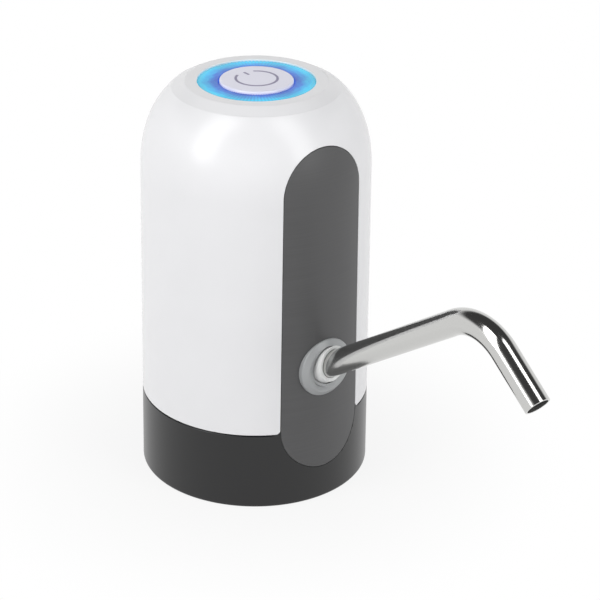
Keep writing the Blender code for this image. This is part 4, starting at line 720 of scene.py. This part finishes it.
# %% White housing
WALL = 2.5
SEAT = 129.98
OPENING = 24.3
OPENING_END = 127.5
INSIDE_DROP = 1.2
TONGUE_OUTSIDE = 34.46
TONGUE_INSIDE = 33.06
TONGUE_END = 25.0
TONGUE_TOP = 30.3
WALL_START = 31.7
USB_HALF_WIDTH = 3.8
USB_LOW = 35.4
USB_HIGH = 38.2

outside = side_line(SEAM + 0.6, SHOULDER_START, 16) + side_line(SHOULDER_START, SEAT - 0.2, 30)[1:]
inside = [(max(radius - WALL, OPENING), height - INSIDE_DROP)
          for radius, height in side_line(SHOULDER_START, 127.0, 14)]
housing = lathe([(TONGUE_OUTSIDE, TONGUE_END, 0.3), (TONGUE_OUTSIDE, SEAM), (body_radius(SEAM), SEAM, 0.25)]
                + outside + [(body_radius(SEAT), SEAT, 0.04), (OPENING, SEAT, 0.2), (OPENING, OPENING_END)]
                + inside[::-1] + [(body_radius(WALL_START) - WALL, WALL_START), (TONGUE_INSIDE, TONGUE_TOP),
                                  (TONGUE_INSIDE, TONGUE_END, 0.3)])
housing = carve(housing, strip_pocket(HOUSING_LIP, HOUSING_GAP))
housing = carve(housing, slanted_rod(STUB_RADIUS + GAP, -STUB_DEPTH, 8.0))
for side in (-1, 1):
    housing = carve(housing, corner(side, 0, SEAM - 0.2))

slot_tool = block((2 * (USB_HALF_WIDTH + GAP), 12, USB_HIGH - USB_LOW + 2 * GAP),
                  (0, FOOT_RADIUS, (USB_LOW + USB_HIGH) / 2))
rounded(slot_tool, along_y(slot_tool), 1.2, 6)
housing = carve(housing, slot_tool)
finish_piece("housing", housing, white_abs, "white_abs", "outer_shell")

# %% [markdown]
# ## The dark strip
# The strip's section runs from the middle of its front, out to a rounded edge, down the side and
# back to the middle of its back. The collar's stub passes through a hole in it.

# %% Dark strip
STRIP_EDGE = 0.15

front_rings = [(share, -STRIP_EDGE * share, 0) for share in INWARD_RINGS[::-1]]
edge_rings = []
for step in range(1, ROUND_STEPS + 1):
    angle = math.pi / 2 * step / ROUND_STEPS
    edge_rings.append((1, -STRIP_EDGE * (1 - math.sin(angle)), STRIP_EDGE * (1 - math.cos(angle))))
back_rings = [(share, 0, STRIP_THICKNESS) for share in INWARD_RINGS]
strip = wrapped_strip(front_rings + edge_rings + back_rings)
strip = carve(strip, slanted_rod(STUB_RADIUS + GAP, -STUB_DEPTH, 8.0))
finish_piece("front_strip", strip, hairline, "grey_strip", "front_panel")

# %% [markdown]
# ## The cap
# The cap closes the housing with a flat deck and a broad bevel down to the rim. Its crisp corners
# are rounded by a hair, which is what catches the thin bright lines along the bevel. It takes the
# housing's own white.

# %% Cap
DECK = 132.0
DECK_RADIUS = 22.35
CAP_BORE = 18.5
SKIRT_OUTSIDE = 24.0
SKIRT_INSIDE = 22.3
SKIRT_END = 126.0
UNDERSIDE = 129.0
RING_FLANGE = 19.0
FLANGE_TOP = 130.3
BOARD_FACE = 123.9
BOARD_SCREW_CIRCLE = 21.5
FIRST_BOARD_SCREW = 90
CAP_POST = (1.9, BOARD_FACE, 130.3)
PILOT = (1.2, 120.0, 127.3)

cap = lathe([(CAP_BORE, DECK, 0.2), (DECK_RADIUS, DECK, 0.35), (RIM_RADIUS, RIM_HEIGHT, 0.04),
             (SKIRT_OUTSIDE, RIM_HEIGHT), (SKIRT_OUTSIDE, SKIRT_END, 0.2), (SKIRT_INSIDE, SKIRT_END, 0.2),
             (SKIRT_INSIDE, UNDERSIDE), (RING_FLANGE + GAP, UNDERSIDE),
             (RING_FLANGE + GAP, FLANGE_TOP + GAP), (CAP_BORE, FLANGE_TOP + GAP)])
for spot in thirds(BOARD_SCREW_CIRCLE, FIRST_BOARD_SCREW):
    cap = carve(cap, moved(rod(*CAP_POST, 32), spot), "UNION")
    cap = carve(cap, moved(rod(*PILOT, 24), spot))
finish_piece("cap", cap, white_abs, "white_abs", "top_cap")

# %% [markdown]
# ## The lit ring
# A clear ring sits between the cap and the button, over six blue lamps. Its top is moulded with fine
# radial flutes, which break the light into fine dashes. The eye sees deep blue beside the button,
# cyan further out and a paler edge, with water-like streaks in them, and a little more light over
# each of the six lamps. The flutes are modelled in the top face. The light is an emission that reads
# how far out a point is, and it is the same on every side of the ring.

# %% Lit ring finish
RING_INSIDE = 11.95
RING_OUTSIDE = CAP_BORE - GAP
FLUTES = 96
LAMPS = 6
STREAKS_ROUND = 2.6
STREAKS_ACROSS = 3.0
STREAK_REACH = 0.62
RING_HUES = ((0, "#0048c0"), (0.28, "#0072d0"), (0.50, "#009ade"), (0.82, "#04c4ee"), (1, "#38bcdc"))
GLOW = 0.92

lit_ring, tree, shader = new_finish("lit_clear_acrylic", "#02203c", 0.16, IOR=1.49)
place = add_node(tree, "ShaderNodeTexCoord")
parts = add_node(tree, "ShaderNodeSeparateXYZ", links={0: place.outputs["Object"]})
flat = add_node(tree, "ShaderNodeCombineXYZ", links={0: parts, 1: parts.outputs[1]})
radius = add_node(tree, "ShaderNodeVectorMath", links={0: flat}, operation="LENGTH")
outward = add_node(tree, "ShaderNodeVectorMath", links={0: flat}, operation="NORMALIZE")
across = add_node(tree, "ShaderNodeMapRange", {1: RING_INSIDE * MM, 2: RING_OUTSIDE * MM},
                  {0: radius.outputs["Value"]})

# Streaks run round the ring: the noise changes slowly with the angle and fast with the radius.
ringwise = add_node(tree, "ShaderNodeVectorMath", {1: (STREAKS_ROUND, STREAKS_ROUND, 0)}, {0: outward},
                    operation="MULTIPLY")
lifted = add_node(tree, "ShaderNodeCombineXYZ", links={2: across})
flow = add_node(tree, "ShaderNodeVectorMath", {1: (1, 1, STREAKS_ACROSS)}, {0: lifted, 2: ringwise},
                operation="MULTIPLY_ADD")
streaks = add_node(tree, "ShaderNodeTexNoise", {"Scale": 1.7, "Detail": 3.0, "Roughness": 0.6},
                   {"Vector": flow})
shift = add_node(tree, "ShaderNodeMath", {1: STREAK_REACH, 2: -STREAK_REACH / 2}, {0: streaks},
                 operation="MULTIPLY_ADD")
bent = add_node(tree, "ShaderNodeMath", links={0: across, 1: shift}, operation="ADD")
hues = add_node(tree, "ShaderNodeValToRGB", links={0: bent})
hues.color_ramp.elements[0].color = linear(RING_HUES[0][1])
hues.color_ramp.elements[1].color = linear(RING_HUES[-1][1])
for share, code in RING_HUES[1:-1]:
    hues.color_ramp.elements.new(share).color = linear(code)

# Each flute has a bright and a dark side, and the light is a little stronger over each lamp.
lamp_low, lamp_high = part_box("led_1")
lamp_bearing = math.atan2(lamp_low[1] + lamp_high[1], lamp_low[0] + lamp_high[0])
angle = add_node(tree, "ShaderNodeMath", links={0: parts.outputs[1], 1: parts}, operation="ARCTAN2")
level = hues
for count, start, dimmest, brightest in ((FLUTES, 0.0, 0.88, 1.04), (LAMPS, lamp_bearing, 0.86, 1.04)):
    turns = add_node(tree, "ShaderNodeMath", {1: count, 2: -count * start}, {0: angle},
                     operation="MULTIPLY_ADD")
    wave = add_node(tree, "ShaderNodeMath", links={0: turns}, operation="COSINE")
    change = add_node(tree, "ShaderNodeMapRange", {1: -1.0, 2: 1.0, 3: dimmest, 4: brightest}, {0: wave})
    level = add_node(tree, "ShaderNodeVectorMath", links={0: level, "Scale": change}, operation="SCALE")
feed(tree, shader, Emission_Color=level)
shader.inputs["Emission Strength"].default_value = GLOW
print("first lamp at", round(math.degrees(lamp_bearing)), "degrees")

# %% Lit ring
FLUTE_DEPTH = 0.12
TOP_FACE = 131.7
LAMP_ROOM = (14.65, 17.6)
LAMP_CEILING = 128.5
RING_FOOT = 13.25

ring = lathe([(RING_INSIDE, TOP_FACE, 0.15), (RING_OUTSIDE, TOP_FACE, 0.15), (RING_OUTSIDE, FLANGE_TOP),
              (RING_FLANGE, FLANGE_TOP), (RING_FLANGE, BOARD_FACE), (LAMP_ROOM[1], BOARD_FACE),
              (LAMP_ROOM[1], LAMP_CEILING), (LAMP_ROOM[0], LAMP_CEILING), (LAMP_ROOM[0], BOARD_FACE),
              (RING_FOOT, BOARD_FACE), (RING_FOOT, UNDERSIDE), (RING_INSIDE, UNDERSIDE)], FLUTES * 2)
for vertex in ring.verts:
    step = round(math.atan2(vertex.co.y, vertex.co.x) / math.tau * FLUTES * 2)
    if vertex.co.z > (TOP_FACE - 0.2) * MM and step % 2:
        vertex.co.z -= FLUTE_DEPTH * MM
finish_piece("lit_ring", ring, lit_ring, "blue_lens", "light_ring")

# %% [markdown]
# ## The power button
# The button is a shallow crowned disc of pearl plastic, one pale lilac white all over. Its edge is
# rounded, so the light of the ring catches it.
# The power sign is a thin printed line that stands a hair proud: most of a circle with a gap, and a
# short stroke in the gap. It is a generic sign, seen on switches of every kind.

# %% Power button
BUTTON_RADIUS = RING_INSIDE - GAP
BUTTON_TOP = 132.55
CROWN = 0.10
BUTTON_FLAT = 5.0
SIGN_RISE = 0.02
BRIM_TOP = UNDERSIDE - GAP
BRIM = 12.95
BUTTON_FOOT = 127.6
BUTTON_BORE = 10.25
BUTTON_CEILING = 130.35
BOSS = 2.0

button = lathe([(0, BUTTON_TOP - SIGN_RISE), (BUTTON_FLAT, BUTTON_TOP - SIGN_RISE),
                (BUTTON_RADIUS, BUTTON_TOP - CROWN, 0.8), (BUTTON_RADIUS, BRIM_TOP), (BRIM, BRIM_TOP, 0.2),
                (BRIM, BUTTON_FOOT, 0.2), (BUTTON_BORE, BUTTON_FOOT), (BUTTON_BORE, BUTTON_CEILING),
                (BOSS, BUTTON_CEILING), (BOSS, BUTTON_FOOT), (0, BUTTON_FOOT)], 128)
finish_piece("button", button, pearl_abs, "pearl_abs", "power_button", body="button")

# %% Power sign
SIGN_RADIUS = 6.5
SIGN_WIDTH = 0.8
SIGN_GAP = math.radians(28)
SIGN_FLOOR = BUTTON_TOP - 0.15
SIGN_TOP = BUTTON_TOP
STROKE_START = 3.9
STROKE_END = 6.6

sign_ink = moulded("grey_violet_pad_print", "#8f8aa6", 0.38, 0.3, 0.0010)

sign = bmesh.new()
corners = ((-1, SIGN_FLOOR), (1, SIGN_FLOOR), (1, SIGN_TOP), (-1, SIGN_TOP))
section = sign.faces.new([sign.verts.new(((SIGN_RADIUS + side * SIGN_WIDTH / 2) * MM, 0, height * MM))
                          for side, height in corners])
bmesh.ops.rotate(sign, verts=sign.verts, cent=(0, 0, 0),
                 matrix=Matrix.Rotation(math.pi / 2 + SIGN_GAP, 3, "Z"))
bmesh.ops.spin(sign, geom=[section], cent=(0, 0, 0), axis=(0, 0, 1), angle=math.tau - 2 * SIGN_GAP,
               steps=72, use_merge=False)
bmesh.ops.holes_fill(sign, edges=sign.edges, sides=4)
stroke = bmesh.ops.create_cube(sign, size=1.0)["verts"]
bmesh.ops.scale(sign, verts=stroke,
                vec=(SIGN_WIDTH * MM, (STROKE_END - STROKE_START) * MM, (SIGN_TOP - SIGN_FLOOR) * MM))
bmesh.ops.translate(sign, verts=stroke,
                    vec=(0, (STROKE_START + STROKE_END) / 2 * MM, (SIGN_FLOOR + SIGN_TOP) / 2 * MM))
finish_piece("power_sign", sign, sign_ink, "grey_abs", body="button")

# %% [markdown]
# ## The button's spring
# A coil spring under the button lifts it again. A real one shortens as the button goes down, which a
# rigid solid can't do. This one is given a mesh of its own. The wire's circle is spun round the axis
# and lifted a little at every step, and both ends are closed.

# %% Button spring
COIL_RADIUS = 5.4
COIL_WIRE = 0.25
COIL_TURNS = 4
COIL_STEPS = 32

low, high = (Vector(point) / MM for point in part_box("button_spring"))
spring = bmesh.new()
bmesh.ops.create_circle(spring, radius=COIL_WIRE * MM, segments=10,
                        matrix=Matrix.Translation((COIL_RADIUS * MM, 0, (low.z + COIL_WIRE) * MM))
                        @ Matrix.Rotation(math.pi / 2, 4, "X"))
climb = (high.z - low.z - 2 * COIL_WIRE) / (COIL_TURNS * COIL_STEPS)
bmesh.ops.spin(spring, geom=spring.edges[:], cent=(0, 0, 0), axis=(0, 0, 1), dvec=(0, 0, climb * MM),
               angle=math.tau * COIL_TURNS, steps=COIL_TURNS * COIL_STEPS, use_merge=False)
bmesh.ops.holes_fill(spring, edges=[e for e in spring.edges if e.is_boundary], sides=0)
print("spring's height", round(high.z - low.z, 2), "mm")
spring = finish_piece("coil_spring", spring, rolled_steel, "plain_steel", "button_spring")
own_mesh(spring)

# %% [markdown]
# ## The collar
# The collar is a round flange that hugs the strip, with a slanted stub behind it. Its face is dished
# a little towards the spout and its rim is bevelled. The flange is turned about the body's front, and
# the stub about the spout's own slant, so the bore meets the face as an oval.

# %% Collar
FLANGE_RADIUS = 9.7
FLANGE_BACK = -4.0
FACE_RADIUS = 8.0
FACE_FLAT = 5.2
FACE = 1.7
FACE_DISH = 1.0
SEAT_GAP = 0.06
SEAT_LOW = 30.0
SEAT_HIGH = 65.0
COLLAR_DROP = Vector((0, 0, 0.2)) * MM
FRONT_FRAME = Matrix.Translation(SPOUT_ROOT - COLLAR_DROP) @ Matrix.Rotation(math.pi / 2, 4, "X")

collar = lathe([(0, FACE - FACE_DISH), (FACE_FLAT, FACE - FACE_DISH), (FACE_RADIUS - 0.4, FACE - 0.04, 0.1),
                (FACE_RADIUS, FACE, 0.2), (FLANGE_RADIUS, 0.3, 0.3), (FLANGE_RADIUS, FLANGE_BACK),
                (0, FLANGE_BACK)], 128)
seat_side = [(radius + SEAT_GAP, height) for radius, height in side_line(SEAT_LOW, SEAT_HIGH, 4)]
seat = lathe([(0, SEAT_LOW)] + seat_side + [(0, SEAT_HIGH)])
collar = carve(moved(collar, FRONT_FRAME), seat)
collar = carve(collar, slanted_rod(STUB_RADIUS, -STUB_DEPTH, -1.0), "UNION")
collar = carve(collar, slanted_rod(STUB_BORE, -STUB_DEPTH - 2, 14.0))
finish_piece("collar", collar, grey_abs, "grey_abs", "spout_collar")

# %% [markdown]
# ## The silicone sleeve
# The sleeve grips the root of the spout and plugs into the collar. It is a slanted tube, but its
# mouth is trimmed upright, in line with the collar's face, so the mouth is an oval too.

# %% Sleeve
SLEEVE_BORE = 4.06
SLEEVE_RADIUS = 5.16
SLEEVE_FRONT = -40.6
SLEEVE_OUT = 12.0
SLEEVE_IN = -11.0
STOP_BORE = 3.26
STOP = 1.0
TRIMMER = 40.0

sleeve = lathe([(SLEEVE_BORE, SLEEVE_OUT), (SLEEVE_RADIUS, SLEEVE_OUT), (SLEEVE_RADIUS, SLEEVE_IN, 0.3),
                (STOP_BORE, SLEEVE_IN), (STOP_BORE, SLEEVE_IN + STOP), (SLEEVE_BORE, SLEEVE_IN + STOP)], 96)
trimmer = block([TRIMMER] * 3, (0, SLEEVE_FRONT - TRIMMER / 2, SPOUT_HEIGHT))
sleeve = carve(moved(sleeve, SPOUT_FRAME), trimmer)
mouth = [e for e in sleeve.edges if all(abs(v.co.y - SLEEVE_FRONT * MM) < MERGE for v in e.verts)
         and len(e.link_faces) == 2 and e.calc_face_angle() > math.radians(20)]
rounded(sleeve, mouth, 0.25, 3)
finish_piece("sleeve", sleeve, silicone, "pale_silicone", "spout_sleeve", body="spout_sleeve")

# %% [markdown]
# ## The spout
# The spout is one stainless tube: a long straight run, a single bend and a short leg. A circle is
# extruded along the run, spun round the bend and extruded down the leg. Solidify gives this skin its
# wall and closes both ends as rings, and the mouth's outer edge gets a fine rounding. The bore is
# rougher than the polished outside, as the drawing left it, and its darker colour is painted shade.

# %% Spout
PIPE_RADIUS = 4.0
PIPE_WALL = 0.6
PIPE_START = -9.7
BEND_START = 70.07
BEND_RADIUS = 18.5
BEND_ANGLE = math.radians(71.2)
LEG = 18.2
BEND_CENTRE = Vector((0, -BEND_RADIUS, BEND_START)) * MM


def drawn(bm, edges, step):
    """The far edges after an edge loop is extruded and moved by a vector."""
    grown = bmesh.ops.extrude_edge_only(bm, edges=edges)["geom"]
    far = {g for g in grown if isinstance(g, bmesh.types.BMVert)}
    bmesh.ops.translate(bm, verts=list(far), vec=step)
    return [g for g in grown if isinstance(g, bmesh.types.BMEdge) and far.issuperset(g.verts)]


pipe = bmesh.new()
bmesh.ops.create_circle(pipe, radius=PIPE_RADIUS * MM, segments=64,
                        matrix=Matrix.Translation((0, 0, PIPE_START * MM)))
loop = drawn(pipe, pipe.edges[:], (0, 0, (BEND_START - PIPE_START) * MM))
turned = bmesh.ops.spin(pipe, geom=loop, cent=BEND_CENTRE, axis=(1, 0, 0), angle=BEND_ANGLE, steps=32,
                        use_merge=False)
loop = [g for g in turned["geom_last"] if isinstance(g, bmesh.types.BMEdge)]
leg_way = Matrix.Rotation(BEND_ANGLE, 3, "X") @ Vector((0, 0, 1))
drawn(pipe, loop, leg_way * LEG * MM)
skin = set(sealed(pipe).faces)
wall = bmesh.ops.solidify(pipe, geom=pipe.faces[:], thickness=PIPE_WALL * MM)["geom"]
for face in wall:
    if isinstance(face, bmesh.types.BMFace) and face not in skin:
        face.material_index = 1
mouth = [e for e in pipe.edges if abs(e.calc_face_angle() - math.pi / 2) < 0.1
         and (e.verts[0].co - BEND_CENTRE).dot(leg_way) > (LEG - 1) * MM]
longest = max(e.calc_length() for e in mouth)
rounded(pipe, [e for e in mouth if e.calc_length() > longest - MERGE], 0.12, 3)
print("tube's volume", round(abs(pipe.calc_volume()) / MM ** 3), "mm3")
pipe = finish_piece("spout_tube", moved(pipe, SPOUT_FRAME), spout_steel, "spout_steel", "spout_pipe",
                    body="spout")
# The inner wall and the end rings take the bore finish, whose darker colour is painted shade.
pipe.data.materials.append(bore_painted_shade)

# %% [markdown]
# ## Under the pump: gasket, suction fitting and screws
# Turned over, the pump shows its working end. A rubber gasket with two grooves seals on the bottle's
# lip, and a barbed acetal fitting takes the suction hose. Three zinc plated screws sit deep in their
# wells, each with a rounded head and a crossed recess. All of them are turned on the same lathe, and
# the recess is carved out with two crossed blades.

# %% Gasket
LIP_FACE = 20.0
GASKET_INSIDE = 20.95
GASKET_OUTSIDE = NECK_RADIUS - GAP
GROOVE = ((0, 0), (0.4, 0.4), (1.0, 0.4), (1.4, 0))

grooves = [(start + out, LIP_FACE + up, 0.1) for start in (22.9, 25.1) for out, up in GROOVE]
gasket = lathe([(GASKET_INSIDE, LIP_FACE, 0.3)] + grooves + [(GASKET_OUTSIDE, LIP_FACE, 0.3),
               (GASKET_OUTSIDE, NECK_DEPTH), (GASKET_INSIDE, NECK_DEPTH)])
finish_piece("gasket", gasket, rubber, "black_rubber", "neck_gasket")

# %% Suction fitting
HOSE_BARBS = [(3.1, 8.0, 0.2), (4.1, 11.5, 0.12), (3.1, 11.5, 0.2),
              (3.1, 15.0), (4.1, 18.5, 0.12), (3.1, 18.5, 0.2)]
TUBE_BARB = 2.6

fitting = lathe([(2.2, 8.0, 0.2)] + HOSE_BARBS + [
    (3.1, 22.0), (4.2, 22.0, 0.2), (4.2, 25.0), (6.0, 25.0, 0.2), (6.0, 27.0, 0.3), (TUBE_BARB, 27.0, 0.2),
    (TUBE_BARB, 33.5, 0.25), (2.2, 33.5, 0.2)], 64)
finish_piece("suction_fitting", fitting, acetal, "acetal", "suction_nipple")

# %% Base screws
SCREW = [(0, 14.4), (1.7, 14.4, 0.6), (1.7, 15.7, 0.1), (0.9, 15.7), (0.9, 28.8), (0, 30.0)]
BLADE = (1.9, 0.36, 1.6)
BLADE_HEIGHT = 14.3

for index in (1, 2, 3):
    low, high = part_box(f"base_screw_{index}")
    spot = Matrix.Translation(((low[0] + high[0]) / 2, (low[1] + high[1]) / 2, 0))
    screw = lathe(SCREW, 48)
    for turn in (0, math.pi / 2):
        screw = carve(screw, moved(block(BLADE, (0, 0, BLADE_HEIGHT)), Matrix.Rotation(turn, 4, "Z")))
    finish_piece(f"foot_screw_{index}", moved(screw, spot), zinc_plate, "zinc", f"base_screw_{index}")

# %% [markdown]
# ## The charging inlet
# At the back, a slot in the housing shows the charging inlet: a folded steel shell with a black tongue
# in it. A block gets its four long edges rounded, its outer face is inset by the sheet's thickness and
# pushed in, and the tongue is a small rounded plate that starts inside the shell's back wall.

# %% Charging inlet
INLET_WALL = 0.35
INLET_DEPTH = 4.6
TONGUE = (4.6, 4.0, 0.6)
TONGUE_ROOT = 0.3

low, high = (Vector(point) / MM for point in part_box("usb_socket"))
inlet = block(high - low, (low + high) / 2)
rounded(inlet, along_y(inlet), 0.9, 5)
inlet.faces.ensure_lookup_table()
opening = max(inlet.faces, key=lambda face: face.calc_center_median().y)
bmesh.ops.inset_individual(inlet, faces=[opening], thickness=INLET_WALL * MM)
opening = bmesh.ops.extrude_discrete_faces(inlet, faces=[opening])["faces"][0]
bmesh.ops.translate(inlet, verts=opening.verts, vec=(0, -INLET_DEPTH * MM, 0))
finish_piece("charging_inlet", inlet, rolled_steel, "plain_steel", "usb_socket")

tongue = block(TONGUE, (0, high.y - INLET_DEPTH - TONGUE_ROOT + TONGUE[1] / 2, (low.z + high.z) / 2))
rounded(tongue, tongue.edges[:], 0.12, 2)
finish_piece("inlet_tongue", tongue, black_plastic, "black_plastic")

# %% [markdown]
# ## The parts that stay as they are
# The CAD solids of the gears, the motor, the boards and the rest already have the right shapes. They
# keep their meshes and only take a finish: the record names a slot for each part, and each slot has a
# finish from the cells above.

# %% Finishes of the carried-over parts
FINISH_OF_SLOT = {
    "white_abs": white_abs, "black_abs": black_abs, "grey_strip": hairline, "grey_abs": grey_abs,
    "blue_lens": lit_ring, "pearl_abs": pearl_abs, "pale_silicone": silicone, "spout_steel": spout_steel,
    "plain_steel": rolled_steel, "zinc": zinc_plate, "black_rubber": rubber, "green_board": solder_mask,
    "black_plastic": black_plastic, "red_pvc": red_pvc, "acetal": acetal, "ferrite": ferrite,
    "copper": copper_wire, "bronze": sintered_bronze, "cell_sleeve": cell_sleeve, "lamp_white": lamp_white,
}

BLACK_LEADS = ("motor_lead_black", "battery_lead_black", "charge_cable")

for row in frame["record"]["subparts"]:
    part = frame["nodes"][row["node"]]
    for held in part.material_slots:
        held.material = black_pvc if row["node"] in BLACK_LEADS else FINISH_OF_SLOT[row["material_slot"]]
